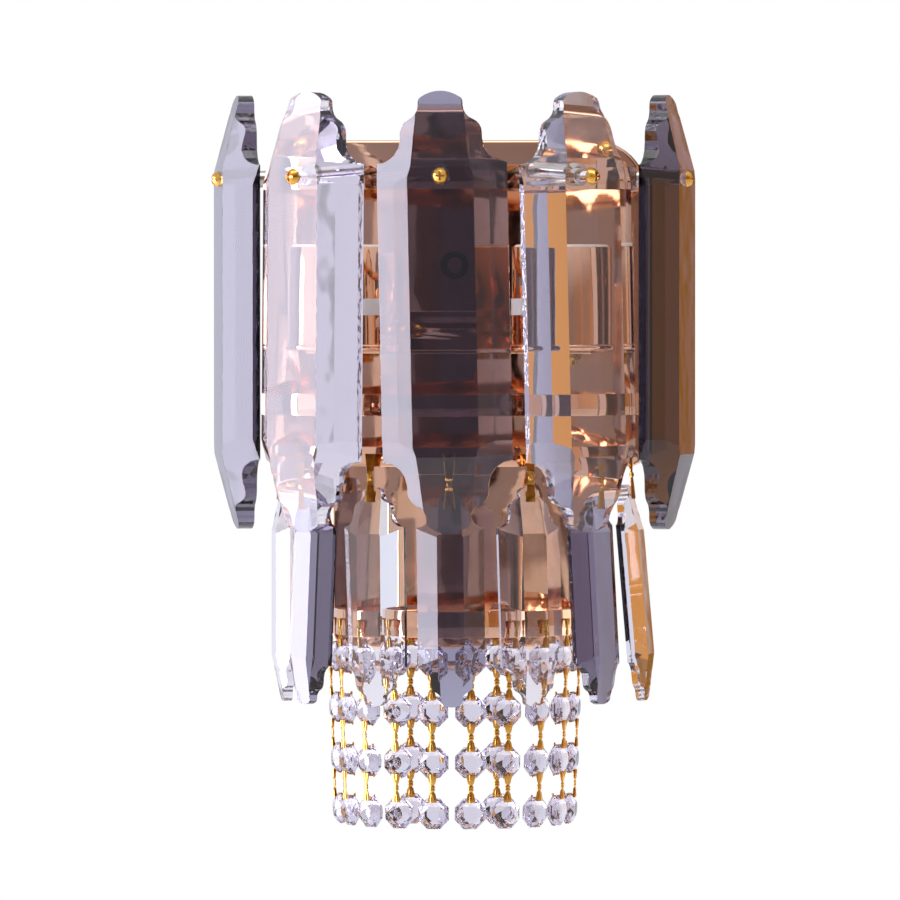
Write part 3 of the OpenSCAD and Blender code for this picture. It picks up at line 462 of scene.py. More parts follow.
def askew(tilt, lean):
    """The turn of a piece that doesn't hang quite straight."""
    return Matrix.Rotation(math.radians(-tilt), 4, "X") @ Matrix.Rotation(math.radians(-lean), 4, "Y")


def along_y():
    """Turns a shape made round z so that its axis lies along -y."""
    return Matrix.Rotation(math.radians(90), 4, "X")


def everything(bm):
    """All that a shape consists of."""
    return bm.verts[:] + bm.edges[:] + bm.faces[:]


def close(bm):
    """Merges doubles and turns the faces outwards."""
    bmesh.ops.remove_doubles(bm, verts=bm.verts[:], dist=MERGE)
    bmesh.ops.recalc_face_normals(bm, faces=bm.faces[:])
    return bm


def move(bm, matrix):
    """Moves a whole shape."""
    bmesh.ops.transform(bm, matrix=matrix, verts=bm.verts[:])


def edges_at(verts):
    """The edges that meet corners, in an order that is the same each run."""
    return list(dict.fromkeys(e for v in verts for e in v.link_edges))


def mirror(bm, axis, merge=MERGE):
    """Adds the mirror image of a shape to it."""
    bmesh.ops.mirror(bm, geom=everything(bm), matrix=Matrix(), merge_dist=merge, axis=axis)


def fill_outline(bm, axes, spare):
    """Mirrors part of an outline, fills it, and dissolves the corners at 0 on the spare axis."""
    for axis in axes:
        mirror(bm, axis)
    bmesh.ops.remove_doubles(bm, verts=bm.verts[:], dist=MERGE)
    bmesh.ops.contextual_create(bm, geom=bm.edges[:])
    bmesh.ops.dissolve_verts(bm, verts=[v for v in bm.verts if abs(v.co[spare]) < MERGE])


def stamp(target, part, matrix):
    """Adds a copy of a part to target."""
    mesh = bpy.data.meshes.new("stamp")
    part.to_mesh(mesh)
    before = len(target.verts)
    target.from_mesh(mesh)
    target.verts.ensure_lookup_table()
    bmesh.ops.transform(target, matrix=matrix, verts=target.verts[before:])
    bpy.data.meshes.remove(mesh)


def bevel(bm, geom, width, segments, affect="EDGES"):
    """Rounds edges, or with VERTICES the corners of a flat outline."""
    bmesh.ops.bevel(bm, geom=geom, offset=width, offset_type="OFFSET", segments=segments, profile=0.5,
                    affect=affect, material=-1, clamp_overlap=affect == "EDGES")
    return bm


def soften(bm, width, segments=1, angle=30):
    """Rounds every edge that is sharper than an angle."""
    return bevel(bm, [e for e in bm.edges if len(e.link_faces) == 2
                      and e.calc_face_angle(0) > math.radians(angle)], width, segments)


def cut(bm, point, normal):
    """Cuts away what lies on the normal's side of a plane, and closes the cut."""
    result = bmesh.ops.bisect_plane(bm, geom=everything(bm), dist=1e-4, plane_co=point,
                                    plane_no=normal, clear_outer=True)
    edges = [g for g in result["geom_cut"] if isinstance(g, bmesh.types.BMEdge)]
    bmesh.ops.holes_fill(bm, edges=edges, sides=0)


def lathe(points, steps, closed=False):
    """Turns a profile of (radius, height) points round z."""
    bm = bmesh.new()
    verts = [bm.verts.new((r, 0, z)) for r, z in points]
    for a, b in zip(verts, verts[1:] + (verts[:1] if closed else [])):
        bm.edges.new((a, b))
    bmesh.ops.spin(bm, geom=everything(bm), cent=(0, 0, 0), axis=(0, 0, 1), angle=math.tau,
                   steps=steps, use_merge=True)
    return close(bm)


def last_face(result):
    """The face that ends a drawn section."""
    return next(g for g in result if isinstance(g, bmesh.types.BMFace))


def go(bm, face, vector):
    """Draws a section on in a straight line."""
    result = bmesh.ops.extrude_face_region(bm, geom=[face])["geom"]
    bmesh.ops.translate(bm, vec=vector, verts=[g for g in result if isinstance(g, bmesh.types.BMVert)])
    return last_face(result)


def turn(bm, face, centre, axis, degrees, steps):
    """Draws a section on round a bend."""
    geom = [face] + face.edges[:] + face.verts[:]
    return last_face(bmesh.ops.spin(bm, geom=geom, cent=centre, axis=axis,
                                    angle=math.radians(degrees), steps=steps)["geom_last"])


def cad_copy(node_name, width, segments=1):
    """A CAD node's solid, merged, with its sharp edges eased."""
    bm = bmesh.new()
    bm.from_mesh(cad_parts[node_name].data)
    bmesh.ops.scale(bm, vec=(1 / MM,) * 3, verts=bm.verts[:])
    close(bm)
    bmesh.ops.dissolve_limit(bm, angle_limit=math.radians(0.4), verts=bm.verts[:], edges=bm.edges[:])
    return soften(bm, width, segments)


def make_piece(name, bm, materials, node_names, body="fixture", smooth=32):
    """Makes an object of a shape in millimetres, and puts it in its place in the frame."""
    bmesh.ops.scale(bm, vec=(MM,) * 3, verts=bm.verts[:])
    mesh = bpy.data.meshes.new(name)
    bm.to_mesh(mesh)
    bm.free()
    for material in materials:
        mesh.materials.append(material)
    if smooth:
        mesh.shade_smooth()
        mesh.set_sharp_from_angle(angle=math.radians(smooth))
    piece = bpy.data.objects.new(name, mesh)
    bpy.context.scene.collection.objects.link(piece)
    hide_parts(*node_names)
    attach(piece, body)
    return piece


# Crystals

def ogee_plate(size):
    """A plate of glass with the crystals' outline, back at y = 0 and front at -thick."""
    steps = 4
    half = size.wide / 2
    tip = size.long / 2
    crown_end = math.acos((size.tip_wide / 2 - size.corner) / (size.crown - size.corner))
    corner_z = tip - size.crown + (size.crown - size.corner) * math.sin(crown_end)
    side_z = corner_z - size.tip_side
    swung = size.neck + size.shoulder
    outer = size.tip_wide / 2 + swung * (1 - math.cos(math.radians(OGEE_TURN)))
    shoulder_z = side_z - swung * math.sin(math.radians(OGEE_TURN))
    bm = bmesh.new()
    end = bm.verts.new((0, 0, tip))

    def swing(vert, x, z, degrees):
        made = bmesh.ops.spin(bm, geom=[vert], cent=(x, 0, z), axis=(0, 1, 0),
                              angle=math.radians(degrees), steps=steps)["geom_last"]
        return next(g for g in made if isinstance(g, bmesh.types.BMVert))

    def drop_to(vert, z):
        made = bmesh.ops.extrude_vert_indiv(bm, verts=[vert])["verts"][0]
        made.co.z = z
        return made

    end = swing(end, 0, tip - size.crown, 90 - math.degrees(crown_end))
    end = swing(end, size.tip_wide / 2 - size.corner, corner_z, math.degrees(crown_end))
    end = drop_to(end, side_z)
    end = swing(end, size.tip_wide / 2 + size.neck, side_z, -OGEE_TURN)
    end = swing(end, outer - size.shoulder, shoulder_z, OGEE_TURN)
    end = drop_to(end, shoulder_z - size.straight)
    end = swing(end, half, shoulder_z - size.straight, -90)
    drop_to(end, 0)
    fill_outline(bm, "ZX", 2)
    go(bm, bm.faces[:][0], (0, -size.thick, 0))
    return bm


def crystal(size, section, roof_foot):
    """A bevelled crystal: its side bevels, end facets and four roof facets are plane cuts."""
    bm = ogee_plate(size)
    foot, ridge = section[:2]
    tip = size.long / 2
    end_slope = (size.thick - size.tip) / size.end
    for (x0, t0), (x1, t1) in zip(section, section[1:]):
        for side in (1, -1):
            cut(bm, (side * x0, -t0, 0), (side * (t1 - t0), x1 - x0, 0))
    for up in (1, -1):
        cut(bm, (0, -size.thick, up * (tip - size.end)), (0, -1, up * end_slope))
    fall = math.atan2(ridge[1] - foot[1], foot[0] - ridge[0])
    swing = math.atan((size.roof - roof_foot) / math.hypot(foot[0] - ridge[0], ridge[1] - foot[1]))
    normal = (Matrix.Rotation(fall, 3, "Z") @ Matrix.Rotation(-swing, 3, "Y")
              @ Matrix.Rotation(-math.atan(end_slope), 3, "X")) @ Vector((0, -1, 0))
    for side in (1, -1):
        for up in (1, -1):
            cut(bm, (side * ridge[0], -ridge[1], up * (tip - size.roof)),
                (side * normal.x, normal.y, up * normal.z))
    return close(bm)


def drill(bm, z, radius, segments):
    """Bores a hole along y through the face in front and the face behind."""
    loops = []
    for faces in ([f for f in bm.faces if f.normal.y > 0.99],
                  [f for f in bm.faces if f.normal.y < -0.5 and bmesh.geometry.intersect_face_point(
                      f, (0, f.calc_center_median().y, z))]):
        face = max(faces, key=lambda f: f.calc_area())
        lean, point = face.normal.copy(), face.verts[0].co.copy()
        rim = face.edges[:]
        made = bmesh.ops.create_circle(bm, segments=segments, radius=radius,
                                       matrix=Matrix.Translation((0, 0, z)) @ along_y())["verts"]
        for v in made:
            v.co.y = point.y - (lean.x * (v.co.x - point.x) + lean.z * (v.co.z - point.z)) / lean.y
        ring = edges_at(made)
        bmesh.ops.delete(bm, geom=[face], context="FACES_ONLY")
        bmesh.ops.triangle_fill(bm, use_beauty=True, edges=rim + ring)
        loops += ring
    bmesh.ops.bridge_loops(bm, edges=loops)
    bmesh.ops.recalc_face_normals(bm, faces=bm.faces[:])
    return bm


def finish_walls(bm):
    """Gives the side walls the finish of the edge."""
    for face in bm.faces:
        face.material_index = 1 if abs(face.normal.y) < 0.2 else 0
    return bm


def upper_crystal(size):
    """One upper crystal, its screw hole bored."""
    half = size.wide / 2
    section = [(half, size.edge), (half - size.bevel, size.ridge), (size.table / 2, size.thick)]
    bm = crystal(size, section, size.roof)
    drill(bm, size.long / 2 - size.hole_from_tip, size.sleeve / 2 + 0.1, 28)
    return finish_walls(bm)


def hanging_crystal(size):
    """One hanging crystal, the hole for its clip bored."""
    section = [(size.wide / 2, size.edge), (size.table / 2, size.thick)]
    bm = crystal(size, section, size.roof_foot)
    drill(bm, size.long / 2 - size.hole_from_tip, size.clip_wire / 2 + 0.1, 12)
    return finish_walls(bm)


# Fasteners

def domed_screw(head_d, head_h, shaft_d, shaft_len):
    """A domed screw with a cross recess; its seat is y = 0 and its head looks to -y."""
    radius = head_d / 2
    arm, reach, depth, narrowing, chamfer = 0.9, radius * 0.56, head_h * 0.42, 0.8, 0.4
    near_rim = radius * 0.8
    bm = bmesh.new()
    bmesh.ops.create_circle(bm, cap_ends=True, segments=36, radius=radius, matrix=along_y())
    for offset in (arm / 2, reach, near_rim):
        for side in (1, -1):
            for normal in ((1, 0, 0), (0, 0, 1)):
                bmesh.ops.bisect_plane(bm, geom=everything(bm), dist=1e-4, plane_no=normal,
                                       plane_co=[c * side * offset for c in normal])
    ball = (radius ** 2 + head_h ** 2) / (2 * head_h)
    for v in bm.verts:
        away = min(radius, math.hypot(v.co.x, v.co.z))
        v.co.y = ball - head_h - math.sqrt(ball ** 2 - away ** 2)
    recess = []
    for face in bm.faces:
        x, z = (abs(c) for c in face.calc_center_median().xz)
        if min(x, z) < arm / 2 and max(x, z) < reach:
            recess.append(face)
    sunk = bmesh.ops.extrude_face_region(bm, geom=recess)["geom"]
    low = [g for g in sunk if isinstance(g, bmesh.types.BMVert)]
    bmesh.ops.delete(bm, geom=recess, context="FACES_ONLY")
    for v in low:
        v.co = (v.co.x * narrowing, -depth, v.co.z * narrowing)
    rim = [e for e in bm.edges if e.is_boundary]
    bmesh.ops.holes_fill(bm, edges=rim, sides=0)
    close(bm)
    shaft = lathe([(0, 0), (shaft_d / 2, 0), (shaft_d / 2, -shaft_len + chamfer),
                   (shaft_d / 2 - chamfer, -shaft_len), (0, -shaft_len)], 16)
    stamp(bm, shaft, along_y() @ Matrix.Translation((0, 0, head_h * 0.2)))
    shaft.free()
    return bm


def acorn_nut(diameter, height):
    """A domed nut, turned: its foot is z = 0."""
    r, chamfer, dome, half = diameter / 2, 0.3, diameter / 2 - 0.35, height / 2
    shoulder = height * 0.42
    points = [(0, 0), (r - chamfer, 0), (r, chamfer), (r, shoulder), (dome, half)]
    points += [(dome * math.cos(a), half + half * math.sin(a))
               for a in (math.radians(d) for d in range(10, 90, 10))]
    points += [(0, height)]
    return lathe(points, 40)


def add_prongs(bm, d, y, bend, tail, steps, ends):
    """Adds wire prongs that run to the back and bend up or down behind what they carry."""
    for z, up, reach in ends:
        prong = bmesh.new()
        made = bmesh.ops.create_circle(prong, cap_ends=True, segments=10, radius=d / 2,
                                       matrix=Matrix.Translation((0, y, z)) @ along_y().inverted())
        face = made["verts"][0].link_faces[0]
        knee = reach - d / 2 - bend
        face = go(prong, face, (0, knee - y, 0))
        face = turn(prong, face, (0, knee, z + up * bend), (1, 0, 0), 90 * up, steps)
        go(prong, face, (0, 0, up * (tail - bend)))
        close(prong)
        stamp(bm, prong, Matrix())
        prong.free()


# Pieces

class SCONCE_OT_wall_plate(bpy.types.Operator):
    """Presses the wall plate: a pan with rounded edges, open at the back"""

    bl_idname = "sconce.wall_plate"
    bl_label = "Wall plate"

    def execute(self, context):
        size = in_mm(context.scene.sconce.plate)
        use = finishes()
        bm = bmesh.new()
        corners = [(0, size.above), (size.half_wide, size.above), (size.half_wide, -size.step),
                   (size.half_narrow, -size.step), (size.half_narrow, -size.below), (0, -size.below)]
        verts = [bm.verts.new((x, 0, z)) for x, z in corners]
        for a, b in zip(verts, verts[1:]):
            bm.edges.new((a, b))
        fill_outline(bm, "X", 0)
        for radius, upper in ((size.top_corner, True), (size.corner, False)):
            verts = [v for v in bm.verts if (v.co.z > 0 if upper else v.co.z < -size.step + 1)]
            bevel(bm, verts, radius, 10, "VERTICES")
        face = go(bm, bm.faces[:][0], (0, -size.depth, 0))
        back = [f for f in bm.faces if all(abs(v.co.y) < MERGE for v in f.verts)]
        bmesh.ops.delete(bm, geom=back, context="FACES_ONLY")
        bevel(bm, face.edges[:], size.fold, 4)
        bmesh.ops.recalc_face_normals(bm, faces=bm.faces[:])
        bmesh.ops.solidify(bm, geom=bm.faces[:], thickness=size.sheet)
        for side in (1, -1):
            self.add_tab(bm, size, side)
        make_piece("wall_plate_pressing", bm, [use.rose_gold], ["wall_plate"])
        return {"FINISHED"}

    def add_tab(self, bm, size, side):
        """Adds a welded tab that stands out of the plate and bends down to a back strand's hole."""
        out, wide, bend, sunk = BACK_STRAND_OUT + size.sheet / 2, 7.0, 2.0, 0.2
        top, foot = -201.1, -210.1
        under = top - size.sheet
        tab = bmesh.new()
        verts = [tab.verts.new((side * BACK_STRAND_X + x, -size.depth + sunk, z))
                 for x, z in ((-wide / 2, under), (wide / 2, under), (wide / 2, top), (-wide / 2, top))]
        face = tab.faces.new(verts)
        face = go(tab, face, (0, -(out - bend + sunk), 0))
        face = turn(tab, face, (0, -size.depth - out + bend, top - bend), (1, 0, 0), 90, 5)
        go(tab, face, (0, 0, foot - top + bend))
        close(tab)
        soften(tab, 0.2)
        stamp(bm, tab, Matrix())
        tab.free()


class SCONCE_OT_mounting(bpy.types.Operator):
    """Makes the mounting bar, its studs, the cap nuts and the wiring parts behind the plate"""

    bl_idname = "sconce.mounting"
    bl_label = "Mounting and wiring"

    def execute(self, context):
        use = finishes()
        for node_name, material, slot, width in (
                ("mounting_bar", use.zinc, "zinc_plated_steel", 0.3),
                ("mounting_studs", use.yellow_gold, "yellow_gold_plating", 0.25),
                ("terminal_block", use.polyamide, "white_plastic", 0.3),
                ("terminal_screws", use.brass, "brass", 0.12),
                ("cable_grommet", use.rubber, "black_rubber", 0.4)):
            make_piece(node_name + "_dressed", cad_copy(node_name, width), [material], [node_name])
        low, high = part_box("earth_screw")
        head_h, shaft_d, bar = 2.2, 4, 1.5
        screw = domed_screw((high.x - low.x) / MM, head_h, shaft_d, bar)
        move(screw, Matrix.Translation(((high.x + low.x) / 2 / MM, -bar, 0)))
        make_piece("earth_screw_dressed", screw, [use.brass], ["earth_screw"])
        low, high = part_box("cap_nuts")
        nuts = bmesh.new()
        nut_radius = 4.5
        nut = acorn_nut((high.z - low.z) / MM, (high.y - low.y) / MM)
        for x in (high.x / MM - nut_radius, low.x / MM + nut_radius):
            stamp(nuts, nut, Matrix.Translation((x, high.y / MM, 0)) @ along_y())
        nut.free()
        make_piece("cap_nuts_dressed", nuts, [use.yellow_gold], ["cap_nuts"])
        return {"FINISHED"}


class SCONCE_OT_lamp_parts(bpy.types.Operator):
    """Makes the lamp bracket and the two lampholders with their shells, contacts and nipples"""

    bl_idname = "sconce.lamp_parts"
    bl_label = "Lampholders"

    def execute(self, context):
        size = in_mm(context.scene.sconce.lamps)
        use = finishes()
        for node_name, material, slot, width in (
                ("lamp_bracket", use.rose_gold, "rose_gold_plating", 0.35),
                ("socket_contacts", use.brass, "brass", 0.12),
                ("holder_nipples", use.brass, "brass", 0.3)):
            make_piece(node_name + "_dressed", cad_copy(node_name, width, 2), [material], [node_name])
        cups, shells = bmesh.new(), bmesh.new()
        cup, label, shell = self.cup(size), self.label(size), self.shell(size)
        for side in ("left", "right"):
            low, high = (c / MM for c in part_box("lampholder_" + side))
            axis = (low + high) / 2
            foot = Matrix.Translation((axis.x, axis.y, low.z))
            holder = self.holder(size)
            move(holder, foot)
            make_piece(f"lampholder_{side}_moulding", holder, [use.thermoset], ["lampholder_" + side])
            stamp(shells, shell, foot)
            place = Matrix.Translation((axis.x, axis.y, low.z - size.cup))
            stamp(cups, cup, place)
            stamp(cups, label, place @ Matrix.Rotation(math.radians(LABEL_FACING[side]), 4, "Z"))
        for part in (cup, label, shell):
            part.free()
        make_piece("lamp_cups_spun", cups, [use.rose_gold, use.paper], ["lamp_cups"],
                   smooth=50)
        make_piece("socket_shells_rolled", shells, [use.nickel], ["socket_shells"],
                   smooth=50)
        screws = bmesh.new()
        low, high = (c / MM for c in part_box("lamp_bracket_screws"))
        bracket_low, bracket_high = (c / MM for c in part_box("lamp_bracket"))
        half = (bracket_high.x - bracket_low.x) / 2
        head_d, head_h, shaft_d, from_end, inner_share = 5.6, 2, 3, 10, 0.28
        screw = domed_screw(head_d, head_h, shaft_d, high.y - low.y - head_h)
        for x in (half - from_end, half * inner_share):
            for side in (1, -1):
                stamp(screws, screw, Matrix.Translation((side * x, low.y + head_h,
                                                         (low.z + high.z) / 2)))
        screw.free()
        make_piece("lamp_bracket_screws_dressed", screws, [use.yellow_gold], ["lamp_bracket_screws"])
        return {"FINISHED"}

    def holder(self, size):
        """One moulded lampholder with the coarse thread for a shade ring round its upper part."""
        r, h, foot_h, rim_h, groove, pitch = size.diameter / 2, size.height, 9, 7, 1.0, 3.4
        well_deep, pit_deep, pit_radius, hollow_h = 24, 30, 2.5, 11
        points = [(NIPPLE_BORE, 0), (size.foot / 2 - groove, 0), (size.foot / 2, groove), (r, foot_h)]
        z = foot_h
        while z + pitch <= h - rim_h:
            points += [(r, z + pitch * 0.22), (r - groove, z + pitch * 0.48),
                       (r - groove, z + pitch * 0.74), (r, z + pitch)]
            z += pitch
        well = size.shell / 2 + 0.7
        points += [(r, h - groove), (r - groove, h), (well + 0.9, h), (well + 0.05, h - 0.8),
                   (well + 0.05, h - well_deep), (well - 2, h - well_deep), (well - 2, h - pit_deep),
                   (pit_radius, h - pit_deep), (pit_radius, hollow_h), (NIPPLE_BORE, hollow_h)]
        bm = lathe(points, 72, closed=True)
        return soften(bm, 0.22, 2, 20)

    def cup(self, size):
        """A spun cup with a rolled foot."""
        bore = size.diameter / 2 + 0.1
        outer = bore + size.cup
        rim = size.height + size.cup - 1
        roll, above_roll, lip = 1.4, 3.2, 0.3
        foot = [(outer + roll * math.cos(a), roll + roll * math.sin(a))
                for a in (math.radians(d) for d in range(-90, 91, 18))]
        points = [(NIPPLE_BORE, 0)] + foot + [(outer, above_roll), (outer, rim - lip),
                                              (outer - lip, rim), (bore + lip, rim),
                                              (bore, rim - lip), (bore, size.cup),
                                              (NIPPLE_BORE, size.cup)]
        return lathe(points, 80, closed=True)

    def label(self, size):
        """The blank paper label that is stuck on a cup, facing the front."""
        outer = size.diameter / 2 + 0.1 + size.cup
        low, high, wide = size.height / 2 - size.label_high, size.height / 2, 46
        under, face_r = outer - 0.05, outer + 0.12
        bm = bmesh.new()
        corners = [bm.verts.new((r, 0, z)) for r, z in
                   ((under, low), (face_r, low), (face_r, high), (under, high))]
        turn(bm, bm.faces.new(corners), (0, 0, 0), (0, 0, 1), wide, 14)
        close(bm)
        move(bm, Matrix.Rotation(math.radians(-90 - wide / 2), 4, "Z"))
        for face in bm.faces:
            face.material_index = 1
        return bm

    def shell(self, size):
        """The rolled shell: rings of the round thread between a plain lip and a turned-in foot."""
        inner, wall, foot, top = size.shell / 2, 0.45, 23.5, 45.5
        deep, lip, plain, above_foot, steps = 0.12, 1.6, 2.2, 1.2, 60
        threaded = top - plain - foot - above_foot
        waves = []
        for i in range(steps + 1):
            z = top - plain - threaded * i / steps
            around = math.tau * (top - plain - z) / size.pitch
            waves.append((inner + deep - deep * math.cos(around), z))
        line = [(inner + 2 * deep, top), (inner + 2 * deep, top - lip)] + waves + [(inner, foot)]
        points = line + [(r + wall, z) for r, z in reversed(line)]
        return lathe(points, 56, closed=True)


class SCONCE_OT_bands(bpy.types.Operator):
    """Bends the top band, the lower band, the hook ring and the bead ring, and screws them on"""

    bl_idname = "sconce.bands"
    bl_label = "Bands and rings"

    def execute(self, context):
        size = in_mm(context.scene.sconce.bands)
        use = finishes()
        screws = bmesh.new()
        head_h, shaft_d, tail, lug_share = 2, 3, 6.2, 0.55
        screw = domed_screw(size.screw, head_h, shaft_d, size.strip + tail)
        for node_name, radius in (("top_band", size.band_radius), ("lower_band", size.band_radius),
                                  ("hook_ring", size.hook_radius), ("bead_ring", size.bead_radius)):
            low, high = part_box(node_name)
            bm = self.half_ring(size, radius, low.z / MM, high.z / MM)
            make_piece(node_name + "_bent", bm, [use.rose_gold], [node_name],
                       smooth=40)
            for side in (1, -1):
                x = radius - size.strip - size.lug * lug_share
                stamp(screws, screw, Matrix.Translation((side * x, RING_Y - size.strip,
                                                         (low.z + high.z) / 2 / MM)))
        screw.free()
        make_piece("band_screws_dressed", screws, [use.yellow_gold], ["band_screws"])
        return {"FINISHED"}

    def half_ring(self, size, radius, low, high):
        """Half of the ring, from its lug to the front, then mirrored."""
        bm = bmesh.new()
        strip, outer = size.strip, size.bend + size.strip
        x0 = radius - strip - size.lug
        verts = [bm.verts.new((x0, y, z)) for y, z in
                 ((RING_Y, low), (RING_Y - strip, low), (RING_Y - strip, high), (RING_Y, high))]
        face = bm.faces.new(verts)
        bevel(bm, face.verts[:], 0.3, 2, "VERTICES")
        face = bm.faces[:][0]
        face = go(bm, face, (radius - outer - x0, 0, 0))
        face = turn(bm, face, (radius - outer, RING_Y - outer, 0), (0, 0, 1), -90, 6)
        start = math.degrees(math.asin(outer / radius))
        face = turn(bm, face, (0, RING_Y, 0), (0, 0, 1), -(90 - start), 60)
        bmesh.ops.delete(bm, geom=[face], context="FACES_ONLY")
        near_middle = 0.05
        for v in bm.verts:
            if abs(v.co.x) < near_middle:
                v.co.x = 0
        mirror(bm, "X")
        return close(bm)


class SCONCE_OT_upper_crystals(bpy.types.Operator):
    """Cuts the five upper crystals and screws them on with their sleeves and nuts"""

    bl_idname = "sconce.upper_crystals"
    bl_label = "Upper crystals"

    def execute(self, context):
        size = in_mm(context.scene.sconce.upper)
        bands = in_mm(context.scene.sconce.bands)
        use = finishes()
        radius = bands.band_radius + size.standoff
        screw_z, seat, shaft_d, tail = -2.6, 0.05, 3, 3.4
        cut_glass = upper_crystal(size)
        screws = bmesh.new()
        head_h = size.head * 0.42
        screw = domed_screw(size.head, head_h, shaft_d,
                            seat + size.thick + size.standoff + bands.strip + tail)
        for i, (azimuth, lean) in enumerate(zip(PRISM_AZIMUTHS, PRISM_LEANS), 1):
            place = on_ring(azimuth, radius, screw_z) @ askew(0, lean)
            bm = bmesh.new()
            middle = Matrix.Translation((0, 0, size.hole_from_tip - size.long / 2))
            stamp(bm, cut_glass, place @ middle)
            kind = "smoked" if i % 2 else "clear"
            make_piece(f"upper_crystal_{i}", bm, glass(kind), [f"prism_{i}"],
                       smooth=0)
            stamp(screws, screw, place @ Matrix.Translation((0, -size.thick - seat, 0)))
        for part in (cut_glass, screw):
            part.free()
        make_piece("crystal_screws", screws, [use.yellow_gold], ["prism_screws"])
        make_piece("crystal_sleeves", cad_copy("prism_sleeves", 0.2), [use.nickel],
                   ["prism_sleeves"])
        make_piece("crystal_nuts", cad_copy("prism_nuts", 0.2), [use.yellow_gold], ["prism_nuts"])
        return {"FINISHED"}


class SCONCE_OT_hanging_crystals(bpy.types.Operator):
    """Cuts the seven hanging crystals and stamps their clips"""

    bl_idname = "sconce.hanging_crystals"
    bl_label = "Hanging crystals"

    def execute(self, context):
        size = in_mm(context.scene.sconce.hanging)
        bands = in_mm(context.scene.sconce.bands)
        use = finishes()
        hook_z = -129.8
        back = 1.9
        radius = bands.hook_radius - bands.strip / 2
        cut_glass = hanging_crystal(size)
        clip = self.clip(size, bands.strip, back)
        clips = bmesh.new()
        for i, (azimuth, lean, tilt) in enumerate(zip(DROP_AZIMUTHS, DROP_LEANS, DROP_TILTS), 1):
            hook = on_ring(azimuth, radius, hook_z) @ askew(tilt, 0)
            hang = (Matrix.Translation((0, back, -size.clip_pitch)) @ askew(0, lean)
                    @ Matrix.Translation((0, 0, size.hole_from_tip - size.long / 2)))
            bm = bmesh.new()
            stamp(bm, cut_glass, hook @ hang)
            kind = "clear" if i % 2 else "smoked"
            make_piece(f"hanging_crystal_{i}", bm, glass(kind), [f"drop_{i}"],
                       f"crystal_{i}", 0)
            stamp(clips, clip, hook)
        for part in (cut_glass, clip):
            part.free()
        make_piece("hanging_clips", clips, [use.yellow_gold], ["drop_clips"],
                   smooth=28)
        return {"FINISHED"}

    def clip(self, size, strip, back):
        """A fluted bow with a wire prong at each end, its upper prong at the origin."""
        slope = (size.thick - size.tip) / size.end
        gap, flute_deep, sheet, front, prong_y, tail = 0.3, 0.26, 0.42, 0.62, 0.45, 3
        y = back - (size.tip + slope * (size.hole_from_tip + size.clip_over)) - gap
        bm = bmesh.new()
        half_long = size.clip_pitch / 2 + size.clip_over
        bmesh.ops.create_grid(bm, x_segments=10, y_segments=12, size=0.5, matrix=along_y())
        for v in bm.verts:
            across, along = v.co.x * 2, v.co.z * 2
            share = abs(along)
            wide = size.clip_waist + (size.clip_wide - size.clip_waist) * share
            flute = flute_deep * math.cos(across * 5 * math.pi) * min(1, share * 2.5)
            v.co = (across * wide / 2, -front - flute, along * half_long)
        bmesh.ops.recalc_face_normals(bm, faces=bm.faces[:])
        bmesh.ops.solidify(bm, geom=bm.faces[:], thickness=sheet)
        knob = lathe([(0, 1.5), (0.9, 1.2), (1.4, 0.5), (1.4, -0.5), (0.9, -1.2), (0, -1.5)], 16)
        stamp(bm, knob, Matrix.Translation((0, -prong_y, 0)) @ Matrix.Diagonal((1, 0.75, 1, 1)))
        knob.free()
        move(bm, Matrix.Translation((0, y, -size.clip_pitch / 2)))
        d = size.clip_wire
        add_prongs(bm, d, y - prong_y, d, tail, 5,
                   ((0, -1, strip / 2 + gap + d), (-size.clip_pitch, 1, back + gap + d)))
        return bm


